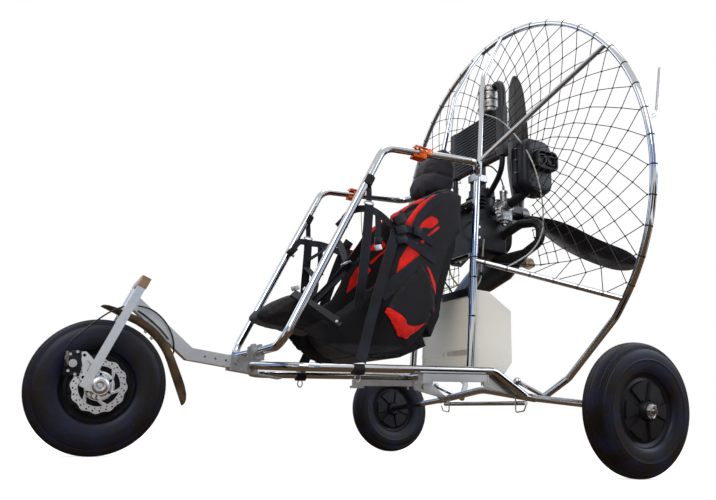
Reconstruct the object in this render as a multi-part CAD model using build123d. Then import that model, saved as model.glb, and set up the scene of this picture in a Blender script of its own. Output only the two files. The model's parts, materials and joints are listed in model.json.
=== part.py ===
from build123d import *
from math import acos, atan2, cos, degrees, radians, sin, tan
import os

# A paramotor trike: a light three-wheeled undercarriage of bright tube with a hung seat, a small
# two-stroke engine, a pusher propeller and a round guard ring behind it.
# Millimetres. X is to the pilot's left, Y runs backwards, Z is up. The nose wheel leads at -Y.
# The origin is on the floor at the middle of the whole machine. Points are given by at(), whose
# second value is the distance behind the rear axle, so what is ahead of it is negative.

# Wheels and stance
WHEELBASE = 1450.5
TRACK = 1507.2
NOSE_TYRE_R = 205.0
NOSE_TYRE_W = 96.0
REAR_TYRE_R = 200.0
REAR_TYRE_W = 92.0
BEAD_R = 108.0
CAMBER = 5.0
SPOKES = 6
PROP_AFT = 212.0
SHAFT_BEYOND_PROP = 34.0
REAR_Y = (WHEELBASE + NOSE_TYRE_R - PROP_AFT - SHAFT_BEYOND_PROP) / 2

# Clearances between pieces that are fitted to each other
RUN = 0.1
SEAT_GAP = 0.3

# Tubes, by diameter
MAIN_TUBE = 28.0
CAGE_TUBE = 20.0
RING_TUBE = 25.0
AXLE_TUBE = 28.0
ARM_TUBE = 24.0
SPINDLE = 15.0
TIE_TUBE = 16.0
STRUT_TUBE = 16.0
HOOK_TUBE = 12.0
CROSS_TUBE = 22.0

# Nose wheel, fork and head
RAKE = 22.0
HEAD_BEHIND_AXLE = 68.5
HEAD_OVER_TYRE = 68.0
HEAD_ABOVE_AXLE = NOSE_TYRE_R + HEAD_OVER_TYRE
HEAD_TUBE_R = 19.0
HEAD_TUBE_WALL = 5.0
HEAD_TUBE_L = 72.0
LEG_X = 84.0
LEG_W = 16.0
LEG_D = 26.0
CROWN_H = 34.0
BOSS_R = 27.0
NOSE_AXLE_R = 6.0
NOSE_HUB_HALF = 56.0
REAR_HUB_HALF = 48.0
HUB_R = 30.0
DISC_R = 80.0
DISC_T = 2.0
FLANGE_R = 53.0
FLANGE_T = 6.0

# Nose beam and its sleeve
BEAM = 40.0
SLEEVE_WALL = 4.0
SLEEVE_L = 98.0
SLEEVE_BEHIND_HEAD = 334.0
BEND_INSIDE_TYRE = 8.5
BEND_BEHIND_HEAD = NOSE_TYRE_R - BEND_INSIDE_TYRE
BEAM_SLOPE = -0.1026
BEAM_END_Z = 303.0
BEAM_HOLE_R = 4.0
HOLES_AHEAD = (86.0, 51.0, 15.0)

# Side rails, pilot hoops and cage
RAIL_X = 255.0
RAIL_BEND_AFT = -140.0
RAIL_BEND_Z = 328.0
RAIL_NOSE_Z = 291.0
HOOP_X = 272.0
FOOT_X = 200.0
FOOT_AFT = -207.0
RING_R = 790.0
RING_AFT = 112.0
RING_Z = 1068.0
RING_TILT = -2.9
RING_LOW = -39.0
MAST_RING_X = 76.0

# Propeller and engine
PROP_Z = 1040.0
DRIVE_CENTRES = 135.0
BLADES = 3
BLADE_START = -28.0
CASE = 150.0
CASE_AFT = 5.0
BORE_R = 52.0
HEAD_R = 58.0
HEAD_RISE = 212.0
SHAFT_R = 17.0

# Radiator and coolant bottle, as shares of the room between the cylinder head and the masts' bend
RAD_AFT = -14.0
RAD_HALF_W = 190.0
RAD_T = 34.0
RAD_STAND_SHARE = 0.217
RAD_SHARE = 0.452
BOTTLE_SHARE = 0.257
BOTTLE_X = 84.0
BOTTLE_R = 46.0

# Tank
TANK_HALF_W = 178.0
TANK_FRONT = -178.0
TANK_DEPTH = 188.0
TANK_LOW = 325.0
TANK_H = 315.0

# Soft seat. Its places fore and aft are drawn for this length between the sleeve and the uprights
CABIN_L = 743.0
SEAT_HALF_W = 190.0
WING_T = 22.0
STRAP_W = 34.0
STRAP_T = 4.0


def at(x, aft, z):
    """A point, given across, behind the rear axle and above the floor."""
    return Vector(x, REAR_Y + aft, z)


def by_nose(x, behind, above):
    """A point, given across, behind the nose wheel's axle and above it."""
    return at(x, behind - WHEELBASE, NOSE_TYRE_R + above)


def sided(side, points):
    """The same points on the left (1) or the right (-1)."""
    return [at(side * x, aft, z) for x, aft, z in points]


def by_head(x, behind, above):
    """A point, given across, behind the middle of the steering head and above it."""
    return by_nose(x, HEAD_BEHIND_AXLE + behind, HEAD_ABOVE_AXLE + above)


def mirrored(side, point):
    """A point moved to the left (1) or the right (-1)."""
    return Vector(side * point.X, point.Y, point.Z)


def tube(points, radii, diameter):
    """A round bar through the points, bent to the given radii at its inner points."""
    if len(points) == 2:
        path = Line(points[0], points[1])
    else:
        path = FilletPolyline(*points, radius=radii)
    start = Plane(origin=path @ 0, z_dir=path % 0)
    return sweep(start * Circle(diameter / 2), path=path)


def rod(start, end, diameter):
    """A straight round bar from one point to another."""
    return tube([start, end], None, diameter)


def cross_rod(aft, z, x0, x1, diameter):
    """A round bar lying across the machine."""
    return rod(at(x0, aft, z), at(x1, aft, z), diameter)


def hose(points, diameter):
    """A cable or hose through the points, with each bend as wide as its runs allow."""
    radii = []
    for before, here, after in zip(points, points[1:], points[2:]):
        run_in = here - before
        run_out = after - here
        turn = radians(run_in.get_angle(run_out))
        radii.append(0.45 * min(run_in.length, run_out.length) / tan(turn / 2))
    return tube(points, radii, diameter)


def side_plate(outline, x, width):
    """A plate with an outline of (aft, z) points, standing fore and aft at x."""
    ground = Plane(origin=(x - width / 2, REAR_Y, 0), x_dir=(0, 1, 0), z_dir=(1, 0, 0))
    return extrude(ground * make_face(Polyline(*outline, close=True)), width)


def nose_plate(outline, x, width):
    """A plate with an outline of (behind, above) points about the nose wheel's axle."""
    placed = [(behind - WHEELBASE, NOSE_TYRE_R + above) for behind, above in outline]
    return side_plate(placed, x, width)


def box(x, aft, z, width, depth, height):
    """A block centred on a point."""
    return Pos(*at(x, aft, z)) * Box(width, depth, height)


def largest(shape):
    """The main solid that a cut leaves."""
    return shape.solids().sort_by(SortBy.VOLUME)[-1]


def cut_by(shape, *others):
    """A shape trimmed to sit on the faces of others."""
    for other in others:
        shape -= other
    return largest(shape)


def save(name, *solids):
    """Write one node: one solid, or several of the same kind."""
    shape = Compound(children=list(solids)) if len(solids) > 1 else solids[0]
    export_step(shape, "parts/" + name + ".step")


os.makedirs("parts", exist_ok=True)
SIDES = (("left", 1), ("right", -1))


# Wheels

TYRE_ROWS = (
    # share of half width, share of height over the bead
    (0.72, 0.0),
    (1.0, 0.42),
    (0.80, 0.84),
    (0.0, 1.0),
)
RIM_SHARE = 0.72
RIM_WALL = 12.0
WEB_T = 16.0


def tyre(outer_r, width):
    """A balloon tyre about X: bead, bulging wall, shoulder and crown, on both sides."""
    side = [(width / 2 * w, BEAD_R + (outer_r - BEAD_R) * h) for w, h in TYRE_ROWS]
    other = [(-x, r) for x, r in reversed(side[:-1])]
    return revolve(make_face(Polyline(*side, *other, close=True)), Axis.X, 360)


def spoked_rim(tyre_w, hub_half, bore_r):
    """A moulded rim about X: a barrel, a web cut into broad spokes, and a hub."""
    half = tyre_w / 2 * RIM_SHARE
    lip = RIM_WALL - 3
    barrel = revolve(make_face(Polyline(
        (-half, BEAD_R), (half, BEAD_R), (half, BEAD_R - lip), (half - 8, BEAD_R - RIM_WALL),
        (8 - half, BEAD_R - RIM_WALL), (-half, BEAD_R - lip), close=True
    )), Axis.X, 360)
    web_ring = Circle(BEAD_R - RIM_WALL + 2) - Circle(HUB_R - 2)
    window = fillet(make_face(Polyline(
        (HUB_R + 10, -8), (BEAD_R - 20, -22), (BEAD_R - 20, 22), (HUB_R + 10, 8), close=True
    )).vertices(), 6)
    for n in range(SPOKES):
        web_ring -= Rot(0, 0, 360 / SPOKES * n) * window
    web = Plane.YZ.offset(-WEB_T / 2) * extrude(web_ring, WEB_T)
    hub = Plane.YZ.offset(-hub_half) * extrude(Circle(HUB_R), 2 * hub_half)
    bore = Plane.YZ.offset(-hub_half - 1) * extrude(Circle(bore_r), 2 * hub_half + 2)
    return barrel + web + hub - bore


AXLE_Z = REAR_TYRE_R * cos(radians(CAMBER))
for name, side in SIDES:
    place = Pos(*at(side * TRACK / 2, 0, AXLE_Z)) * Rot(0, side * CAMBER, 0)
    save("rear_tyre_" + name, place * tyre(REAR_TYRE_R, REAR_TYRE_W))
    save("rear_rim_" + name, place * spoked_rim(REAR_TYRE_W, REAR_HUB_HALF, SPINDLE / 2 + RUN))

nose_place = Pos(*by_nose(0, 0, 0))
save("nose_tyre", nose_place * tyre(NOSE_TYRE_R, NOSE_TYRE_W))
save("nose_rim", nose_place * spoked_rim(NOSE_TYRE_W, NOSE_HUB_HALF, NOSE_AXLE_R + RUN))

# Brake disc on its hub flange: scalloped and drilled outside, swept arms inside
SCALLOPS = 10
SCALLOP_R = 24.0
ARMS = 6
DRILLINGS = 30
DRILL_R = 2.4
disc_x = NOSE_HUB_HALF + FLANGE_T
disc = Circle(DISC_R)
for n in range(SCALLOPS):
    disc -= Rot(0, 0, 360 / SCALLOPS * n) * Pos(DISC_R + SCALLOP_R - 3, 0) * Circle(SCALLOP_R)
for n in range(DRILLINGS):
    drill_at = DISC_R - (7.5, 12.0, 12.0)[n % 3]
    disc -= Rot(0, 0, 360 / DRILLINGS * n + 180 / SCALLOPS) * Pos(drill_at, 0) * Circle(DRILL_R)
arm_window = fillet(make_face(Polyline((36, -9), (61, 2), (57, 24), (33, 10), close=True)).vertices(), 4)
for n in range(ARMS):
    disc -= Rot(0, 0, 360 / ARMS * n) * arm_window
axle_hole = Circle(NOSE_AXLE_R + RUN)
flange = Plane.YZ.offset(NOSE_HUB_HALF) * extrude(Circle(FLANGE_R) - axle_hole, FLANGE_T)
disc_plate = Plane.YZ.offset(disc_x) * extrude(disc - axle_hole, DISC_T)
save("brake_disc", nose_place * (disc_plate + flange))


# Fork and steering head. The steering axis leans back by the rake and lies in the legs' plane.

def along_head(offset):
    """A point on the steering axis, measured upwards along it from the head's middle."""
    return by_nose(
        0,
        HEAD_BEHIND_AXLE + offset * sin(radians(RAKE)),
        HEAD_ABOVE_AXLE + offset * cos(radians(RAKE)),
    )


def head_plane(offset):
    """The plane across the steering axis, whose x runs across the machine."""
    up = Vector(0, sin(radians(RAKE)), cos(radians(RAKE)))
    return Plane(origin=along_head(offset), x_dir=(1, 0, 0), z_dir=up)


head_top = HEAD_TUBE_L / 2
crown_low = head_top + SEAT_GAP
stem_r = HEAD_TUBE_R - HEAD_TUBE_WALL - RUN
STEM_NUT_H = 9.0
leg_length = (HEAD_ABOVE_AXLE + 8) / cos(radians(RAKE)) + crown_low
stem = head_plane(-head_top) * extrude(Circle(stem_r), HEAD_TUBE_L + 2 * SEAT_GAP)
stem_nut = head_plane(-head_top - SEAT_GAP - STEM_NUT_H) * extrude(
    RegularPolygon(stem_r + 2, 6), STEM_NUT_H
)
stem_neck = head_plane(-head_top - SEAT_GAP - 1) * extrude(Circle(stem_r), 2 * SEAT_GAP + 1)
crown = head_plane(crown_low) * extrude(
    fillet(Rectangle(2 * LEG_X + LEG_W + 4, LEG_D + 4).vertices(), 3), CROWN_H
)
crown_nut = head_plane(crown_low + CROWN_H) * extrude(RegularPolygon(11, 6), 9)
fork = crown + stem + stem_neck + stem_nut + crown_nut
leg_lug = [(-35.5, 21), (0, 21), (0, -21), (-42.5, -15)]
for side in (1, -1):
    leg_top = head_plane(crown_low) * Pos(side * LEG_X, 0)
    fork += leg_top * extrude(Rectangle(LEG_W, LEG_D), -leg_length)
    fork += Pos(*by_nose(side * LEG_X, 0, 0)) * Rot(0, 90, 0) * Cylinder(BOSS_R, LEG_W)
    fork += nose_plate(leg_lug, side * LEG_X, LEG_W - 4)
axle_reach = LEG_X + LEG_W / 2 + 6
axle_bolt = rod(by_nose(-axle_reach, 0, 0), by_nose(axle_reach, 0, 0), 2 * NOSE_AXLE_R)
fork += axle_bolt
save("fork", fork)

head_ring = Circle(HEAD_TUBE_R) - Circle(HEAD_TUBE_R - HEAD_TUBE_WALL)
save("head_tube", head_plane(-head_top) * extrude(head_ring, HEAD_TUBE_L))

# Caliper on its three-cornered plate, ahead of the leg and round the edge of the disc
ADAPTOR_T = 4.0
CALIPER_W = 22.0
CALIPER_SLOT = 5.0
caliper_at = (-75.5, 61.0)
leg_inside = LEG_X - LEG_W / 2
adaptor = nose_plate(
    [(-63, 95), (-43, 95), (-1, 58), (-28, 9), (-58, 17)], leg_inside - ADAPTOR_T / 2, ADAPTOR_T
)
for behind, above in ((-53, 84), (-49, 22)):
    adaptor -= rod(
        by_nose(leg_inside - 2 * ADAPTOR_T, behind, above), by_nose(LEG_X, behind, above), 9
    )
caliper = Pos(*by_nose(leg_inside - CALIPER_W / 2, *caliper_at)) * Box(CALIPER_W, 56, 82)
caliper = fillet(caliper.edges().filter_by(Axis.X), 12)
lever = Pos(*by_nose(leg_inside + 7, -100.5, 57)) * Box(18, 12, 40)
caliper += lever
disc_slot_x = disc_x + DISC_T / 2
caliper -= Pos(*by_nose(disc_slot_x, caliper_at[0] + 10, caliper_at[1])) * Box(CALIPER_SLOT, 60, 100)
caliper -= adaptor
save("brake_caliper", caliper, adaptor)

# Brake cable, from the caliper's lever over the head, and down round the nose beam. It is opened
# beside the head, where the fork's stretch swings past the frame's.
CABLE_D = 5.0
cable_from_lever = [by_nose(*p) for p in ((88, -100.5, 77.4), (90, -102.5, 95), (95, -98.5, 116))]
cable_to_head = [by_head(*p) for p in (
    (98, -153, -136), (96, -127, -109), (88, -94, -75), (76, -60, -46), (62, -27, -29),
)]
fork_cable = hose(cable_from_lever + cable_to_head, CABLE_D)
save("brake_cable_fork", fork_cable)
frame_cable = hose([by_head(*p) for p in (
    (50, 16, -21), (44, 42, -22), (40, 67, -30), (36, 92, -46), (34, 116, -70),
    (34, 134, -102), (34, 142, -133), (22, 146, -156), (0, 144, -164), (-20, 136, -156),
    (-31, 120, -130), (-31, 92, -83), (-26, 70, -57),
)], CABLE_D)
cable_clip = Pos(*by_head(-BEAM / 2 - SEAT_GAP - 5, 66, -52)) * Box(10, 16, 16)
return_cable = hose([by_head(*p) for p in (
    (22.8, 20, -32), (27, 42, -44), (29, 72, -66), (30, 102, -90), (31, 124, -115),
)], CABLE_D)
save("brake_cable_frame", frame_cable + cable_clip, return_cable)

# Mudguard: a crowned strip wrapped round the back of the nose tyre, hung under the beam
GUARD_W = 66.0
GUARD_T = 3.0
GUARD_CROWN = 7.0
GUARD_CLEAR = 17.0
guard_r = NOSE_TYRE_R + GUARD_CLEAR


def on_wheel(angle):
    """A point of the mudguard's line, by angle up from straight behind the nose axle."""
    return by_nose(0, guard_r * cos(radians(angle)), guard_r * sin(radians(angle)))


guard_wire = Wire([
    Line(by_nose(0, -19.5, guard_r + 25), on_wheel(72)),
    ThreePointArc(on_wheel(72), on_wheel(48), on_wheel(24)),
    Line(on_wheel(24), by_nose(0, guard_r + 40.5, -43)),
])
half_guard = GUARD_W / 2
guard_section = make_face([
    ThreePointArc((-half_guard, -GUARD_CROWN), (0, 0), (half_guard, -GUARD_CROWN)),
    Line((half_guard, -GUARD_CROWN), (half_guard, -GUARD_CROWN - GUARD_T)),
    ThreePointArc(
        (half_guard, -GUARD_CROWN - GUARD_T), (0, -GUARD_T), (-half_guard, -GUARD_CROWN - GUARD_T)
    ),
    Line((-half_guard, -GUARD_CROWN - GUARD_T), (-half_guard, -GUARD_CROWN)),
])
guard_start = Plane(origin=guard_wire @ 0, x_dir=(-1, 0, 0), z_dir=guard_wire % 0)
mudguard = sweep(guard_start * guard_section, path=guard_wire, transition=Transition.RIGHT)


# Nose beam: a square tube welded to the head and bent level, drilled for its sleeve

head_aft = HEAD_BEHIND_AXLE - WHEELBASE
sleeve_front = head_aft + SLEEVE_BEHIND_HEAD
sleeve_back = sleeve_front + SLEEVE_L
beam_end = sleeve_back - 26


def beam_z(aft):
    """Height of the beam's centre line behind its bend."""
    return BEAM_END_Z + (aft - beam_end) * BEAM_SLOPE


bend_aft = head_aft + BEND_BEHIND_HEAD
beam_path = Polyline(
    along_head(2), at(0, bend_aft, beam_z(bend_aft)), at(0, beam_end, beam_z(beam_end))
)
beam_start = Plane(origin=beam_path @ 0, x_dir=(1, 0, 0), z_dir=beam_path % 0)
nose_beam = sweep(beam_start * Rectangle(BEAM, BEAM), path=beam_path, transition=Transition.RIGHT)
for ahead in HOLES_AHEAD:
    aft = sleeve_front - ahead
    nose_beam -= cross_rod(aft, beam_z(aft), -BEAM, BEAM, 2 * BEAM_HOLE_R)
nose_beam = cut_by(
    nose_beam, head_plane(-head_top - BEAM) * extrude(Circle(HEAD_TUBE_R), HEAD_TUBE_L + 2 * BEAM)
)
save("nose_beam", nose_beam)

# The mudguard's rubber block sits between it and the beam's underside
block_at = on_wheel(58)
block_line = (on_wheel(57) - on_wheel(59)).normalized()
block_plane = Plane(origin=block_at, x_dir=(1, 0, 0), z_dir=block_line)
guard_block = block_plane.offset(-20) * Pos(0, -10) * extrude(Rectangle(28, 24), 40)
guard_block = cut_by(guard_block, nose_beam, mudguard)
mudguard += guard_block
mudguard = largest(mudguard)
save("mudguard", mudguard)

sleeve_out = BEAM + 2 * SLEEVE_WALL
KEEL_T = 5.0
KEEL_BEYOND = 88.0
BOLT_HEAD = 14.0


def sleeve_block(aft0, aft1, size):
    """A square bar along the level part of the beam."""
    along = Vector(0, 1, BEAM_SLOPE).normalized()
    plane = Plane(origin=at(0, aft0, beam_z(aft0)), x_dir=(1, 0, 0), z_dir=along)
    return plane * extrude(Rectangle(size, size), aft1 - aft0)


nose_sleeve = sleeve_block(sleeve_front, sleeve_back, sleeve_out)
nose_sleeve -= sleeve_block(sleeve_front - 1, sleeve_back + 1, BEAM)
keel_start = Plane(
    origin=at(0, sleeve_front, beam_z(sleeve_front)), x_dir=(1, 0, 0), z_dir=(0, 1, BEAM_SLOPE)
)
nose_sleeve += keel_start * Pos(0, sleeve_out / 2 + KEEL_T / 2 - 1) * extrude(
    Rectangle(sleeve_out, KEEL_T), SLEEVE_L + KEEL_BEYOND
)
bolt_aft = sleeve_front + 22
for side in (1, -1):
    nose_sleeve += cross_rod(
        bolt_aft, beam_z(bolt_aft), side * sleeve_out / 2, side * (sleeve_out / 2 + 6), BOLT_HEAD
    )
save("nose_sleeve", nose_sleeve)


# Axle: a gull-shaped centre tube with a tie bar under it, and an arm to each wheel

def arm_z(x):
    """Height of a rear arm's centre line at a distance from the middle."""
    return AXLE_Z + tan(radians(CAMBER)) * (TRACK / 2 - x)


GULL_END = 305.0
GULL_Z = 277.0
TIE_Z = 222.0
TIE_HALF = 262.0
axle_centre = tube(
    [at(-GULL_END, 0, arm_z(GULL_END)), at(0, 0, GULL_Z), at(GULL_END, 0, arm_z(GULL_END))],
    [300], AXLE_TUBE,
)
tie_bar = cross_rod(-2, TIE_Z, -TIE_HALF, TIE_HALF, TIE_TUBE)
save("axle_beams", axle_centre, tie_bar)

HUB_PLAY = 6.0
NUT_D = 26.0
NUT_T = 12.0
axle_arms = []
for side in (1, -1):
    shoulder_x = TRACK / 2 - REAR_HUB_HALF - HUB_PLAY
    nut_x = TRACK / 2 + REAR_HUB_HALF + 2
    end_x = nut_x + NUT_T + 6

    def arm_point(x):
        return at(side * x, 0, arm_z(x))

    arm = rod(arm_point(GULL_END), arm_point(shoulder_x), ARM_TUBE)
    arm += rod(arm_point(GULL_END), arm_point(end_x), SPINDLE)
    arm += rod(arm_point(nut_x), arm_point(nut_x + NUT_T), NUT_D)
    axle_arms.append(cut_by(arm, axle_centre))
save("axle_arms", *axle_arms)


# Side rails, pilot hoops, and the cross tube that the hoops stand on

corner_aft = sleeve_back + 62
rail_slope = (RAIL_BEND_Z - RAIL_NOSE_Z) / (RAIL_BEND_AFT - corner_aft)


def rail_z(aft):
    """Height of a side rail's centre line along its straight run."""
    return RAIL_BEND_Z + (aft - RAIL_BEND_AFT) * rail_slope


def cabin(aft):
    """A place behind the rear axle, stretched with the length between sleeve and uprights."""
    return FOOT_AFT + (aft - FOOT_AFT) * (FOOT_AFT - sleeve_back) / CABIN_L


def cabin_outline(points):
    """An outline of (aft, z) points, stretched likewise."""
    return [(cabin(aft), z) for aft, z in points]


foot_reach = RAIL_X - MAIN_TUBE / 4
foot_tube = cross_rod(FOOT_AFT, rail_z(FOOT_AFT), -foot_reach, foot_reach, CROSS_TUBE)
rails = {}
hoops = {}
for name, side in SIDES:
    rail = tube(sided(side, [
        (sleeve_out / 2, sleeve_back - 22, BEAM_END_Z - 1),
        (RAIL_X - 8, corner_aft, RAIL_NOSE_Z),
        (RAIL_X, RAIL_BEND_AFT, RAIL_BEND_Z),
        (RAIL_X + 13, -8, 246),
    ]), [90, 60], MAIN_TUBE)
    rails[name] = cut_by(rail, axle_centre, tie_bar, nose_sleeve)
    hoop = tube(sided(side, [
        (14, sleeve_back - 6, 349),
        (HOOP_X - 6, sleeve_back - 14, 350),
        (HOOP_X, cabin(-628), 1081),
        (HOOP_X, cabin(-235), 1112),
        (FOOT_X, -166, 1125),
        (FOOT_X, FOOT_AFT, rail_z(FOOT_AFT) + CROSS_TUBE / 4),
    ]), [62, 70, 45, 40], MAIN_TUBE)
    hoops[name] = cut_by(hoop, foot_tube)
    save("hoop_" + name, hoops[name])
save("side_rails", *rails.values())
save("foot_cross_tube", cut_by(foot_tube, rails["left"], rails["right"]))

# A flat beam under each rail, with a cap behind and a clamp in front
FOOT_BEAM_L = 270.0
FOOT_BEAM_W = 34.0
FOOT_BEAM_H = 25.0
foot_tilt = degrees(atan2(rail_slope, 1))
foot_mid = FOOT_AFT + 24 - FOOT_BEAM_L / 2
foot_beams = []
for side in (1, -1):
    beam_place = Pos(*at(side * RAIL_X, foot_mid, rail_z(foot_mid))) * Rot(foot_tilt, 0, 0)
    drop = MAIN_TUBE / 2 + SEAT_GAP + FOOT_BEAM_H / 2
    beam = Pos(0, 0, -drop) * Box(FOOT_BEAM_W, FOOT_BEAM_L, FOOT_BEAM_H)
    beam += Pos(0, FOOT_BEAM_L / 2, -drop) * Box(FOOT_BEAM_W + 4, 4, FOOT_BEAM_H)
    beam += Pos(0, 14 - FOOT_BEAM_L / 2, -drop - FOOT_BEAM_H / 2 - 4) * Box(FOOT_BEAM_W + 8, 44, 10)
    beam += Pos(0, FOOT_BEAM_L / 2 - 14, -drop - FOOT_BEAM_H / 2 - 6) * Cylinder(4, 14)
    foot_beams.append(beam_place * beam)
save("foot_beams", *foot_beams)

# Gusset plates between each rail's rear bend and the axle, and the axle's safety pins
GUSSET_T = 5.0
PIN_D = 5.0
gussets = []
pins = []
for name, side in SIDES:
    gusset_x = RAIL_X - MAIN_TUBE / 2 - SEAT_GAP - GUSSET_T / 2
    gusset = side_plate([
        (-176, 312), (RAIL_BEND_AFT + 20, 322), (-30, 262), (-8, 240), (-60, 250), (-176, 272),
    ], side * gusset_x, GUSSET_T)
    gusset += cross_rod(-128, 288, side * (gusset_x - 8), side * (gusset_x + 2), 18)
    gussets.append(cut_by(gusset, axle_centre, tie_bar, foot_tube, rails[name]))
    pin = tube(sided(side, [
        (216, -13, 246), (216, -13, 188), (262, -13, 194), (274, -13, 214),
    ]), [8, 8], PIN_D)
    pins.append(cut_by(pin, axle_centre, tie_bar, rails[name]))
save("axle_gussets", *gussets)
save("axle_pins", *pins)

# Guard ring, its tails and their struts, masts and braces
ring_plane = Plane(
    origin=at(0, RING_AFT, RING_Z), x_dir=(1, 0, 0),
    z_dir=Vector(0, -cos(radians(RING_TILT)), sin(radians(RING_TILT))),
)


def on_ring(angle):
    """A point on the ring's centre line, by angle up from the pilot's left."""
    across = RING_R * cos(radians(angle))
    up = RING_R * sin(radians(angle))
    return at(across, RING_AFT + up * sin(radians(RING_TILT)), RING_Z + up * cos(radians(RING_TILT)))


ring_arc = ThreePointArc(on_ring(RING_LOW), on_ring(90), on_ring(180 - RING_LOW))
ring = sweep(Plane(origin=ring_arc @ 0, z_dir=ring_arc % 0) * Circle(RING_TUBE / 2), path=ring_arc)
save("guard_ring", ring)

STRUT_FOOT = (270, -48, 297)
TAIL_END = (262, 85, 250)
TAIL_STRAIGHT = 70.0
tails = []
struts = []
for name, side in SIDES:
    top = on_ring(RING_LOW)
    bend = top - (ring_arc % 0) * TAIL_STRAIGHT
    tail = tube(
        [mirrored(side, top), mirrored(side, bend)] + sided(side, [(322, 150, 318), TAIL_END]),
        [200, 40], RING_TUBE,
    )
    tails.append(tail)
    strut = rod(*sided(side, [TAIL_END, STRUT_FOOT]), STRUT_TUBE)
    strut += Pos(*sided(side, [STRUT_FOOT])[0]) * Sphere(14)
    struts.append(cut_by(strut, tail, rails[name]))
save("guard_tails", *tails)
save("ring_struts", *struts)

MAST_FOOT = at(172, -138, 1075)
MAST_TO_RING = 0.196
BAR_Z = 746.0
DIAGONAL_ANGLE = 35.0
masts = {}
diagonals = []
lower_bars = []
mast_clamps = []
ring_top = on_ring(degrees(acos(MAST_RING_X / RING_R)))
mast_bend = ring_top + Vector(32, -136, -253)
mast_neck = ring_top + Vector(14, -52, -83)
for name, side in SIDES:
    mast_line = [mirrored(side, p) for p in (MAST_FOOT, mast_bend, mast_neck, ring_top)]
    masts[name] = cut_by(tube(mast_line, [120, 120], CAGE_TUBE), ring)
    joint = mast_line[0] + (mast_line[1] - mast_line[0]) * MAST_TO_RING
    diagonal = rod(joint, mirrored(side, on_ring(DIAGONAL_ANGLE)), CAGE_TUBE)
    diagonals.append(cut_by(diagonal, masts[name], ring))
    bar = rod(at(side * FOOT_X, -186, BAR_Z), mirrored(side, on_ring(RING_LOW)), CAGE_TUBE)
    lower_bars.append(cut_by(bar, hoops[name], ring, *tails))
    clamp = fillet(box(side * 186, -155, 1083, 52, 62, 26).edges().filter_by(Axis.Z), 8)
    mast_clamps.append(cut_by(clamp, hoops[name], masts[name]))
save("masts", *masts.values())
save("guard_diagonals", *diagonals)
save("guard_lower_bars", *lower_bars)
save("mast_clamps", *mast_clamps)

# Line hooks on the ring, line clamps on the hoops, and the clamp of the hoops' front feet
HOOK_ANGLE = 7.0
CLAMP_AFT = -473.0
hooks = []
line_clamps = []
for name, side in SIDES:
    hook_root = on_ring(HOOK_ANGLE)
    hook_line = [hook_root, hook_root + Vector(-4, 53, 36), hook_root + Vector(-4, 89, 220)]
    hooks.append(cut_by(tube([mirrored(side, p) for p in hook_line], [40], HOOK_TUBE), ring))
    clamp = box(side * (HOOP_X - 2), cabin(CLAMP_AFT), 1089, 44, 66, 44)
    clamp = fillet(clamp.edges().filter_by(Axis.X), 10)
    line_clamps.append(cut_by(clamp, hoops[name]))
save("line_hooks", *hooks)
save("line_clamps", *line_clamps)
foot_clamp = box(0, sleeve_back - 6, 345, 60, 44, 46)
save("hoop_foot_clamp", cut_by(foot_clamp, hoops["left"], hoops["right"], nose_sleeve))


# Engine: case, cylinder with its water jacket, head, plug and hand starter in one block

crank_z = PROP_Z - DRIVE_CENTRES
head_z = crank_z + HEAD_RISE
HEAD_T = 24.0
STARTER_D = 130.0
STARTER_T = 34.0
case_front = CASE_AFT - CASE / 2
case_back = CASE_AFT + CASE / 2
engine = fillet(box(0, CASE_AFT, crank_z, CASE, CASE, CASE).edges(), 14)


def upright(z0, z1, radius, x=0, aft=CASE_AFT):
    """A round block standing on end."""
    return Pos(*at(x, aft, (z0 + z1) / 2)) * Cylinder(radius, z1 - z0)


engine += upright(crank_z, head_z - HEAD_T + 1, BORE_R)
engine += upright(crank_z + CASE / 2 - 2, crank_z + CASE / 2 + 8, BORE_R + 8)
engine += upright(head_z - HEAD_T - 10, head_z - HEAD_T, HEAD_R)
engine += upright(head_z - HEAD_T, head_z, HEAD_R - 3)
engine += upright(head_z - 1, head_z + 12, 22)
engine += upright(head_z + 11, head_z + 33, 10)
starter_back = case_front + 2
for depth, diameter in ((STARTER_T, STARTER_D), (STARTER_T + 8, 0.72 * STARTER_D), (STARTER_T + 14, 40)):
    engine += rod(at(0, starter_back - depth, crank_z), at(0, starter_back, crank_z), diameter)
engine += rod(at(-20, starter_back - 20, crank_z + 50), at(-68, starter_back - 20, crank_z + 66), 16)
save("engine_block", engine)

# Cross bars between the uprights, and the plates that carry the engine on them
ENGINE_BARS = ((-196, 765), (-180, 985))
PLATE_T = 6.0
cross_bars = []
for aft, z in ENGINE_BARS:
    reach = FOOT_X - MAIN_TUBE / 4
    bar = cross_rod(aft, z, -reach, reach, CROSS_TUBE)
    cross_bars.append(cut_by(bar, hoops["left"], hoops["right"]))
save("engine_cross_bars", *cross_bars)
plates = []
for side in (1, -1):
    plate = side_plate(
        [(-186, 1000), (-150, 1000), (-50, 950), (-50, 860), (-160, 745), (-206, 745)],
        side * (CASE / 2 + SEAT_GAP + PLATE_T / 2), PLATE_T,
    )
    plates.append(cut_by(plate, *cross_bars))
save("engine_plates", *plates)

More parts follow.
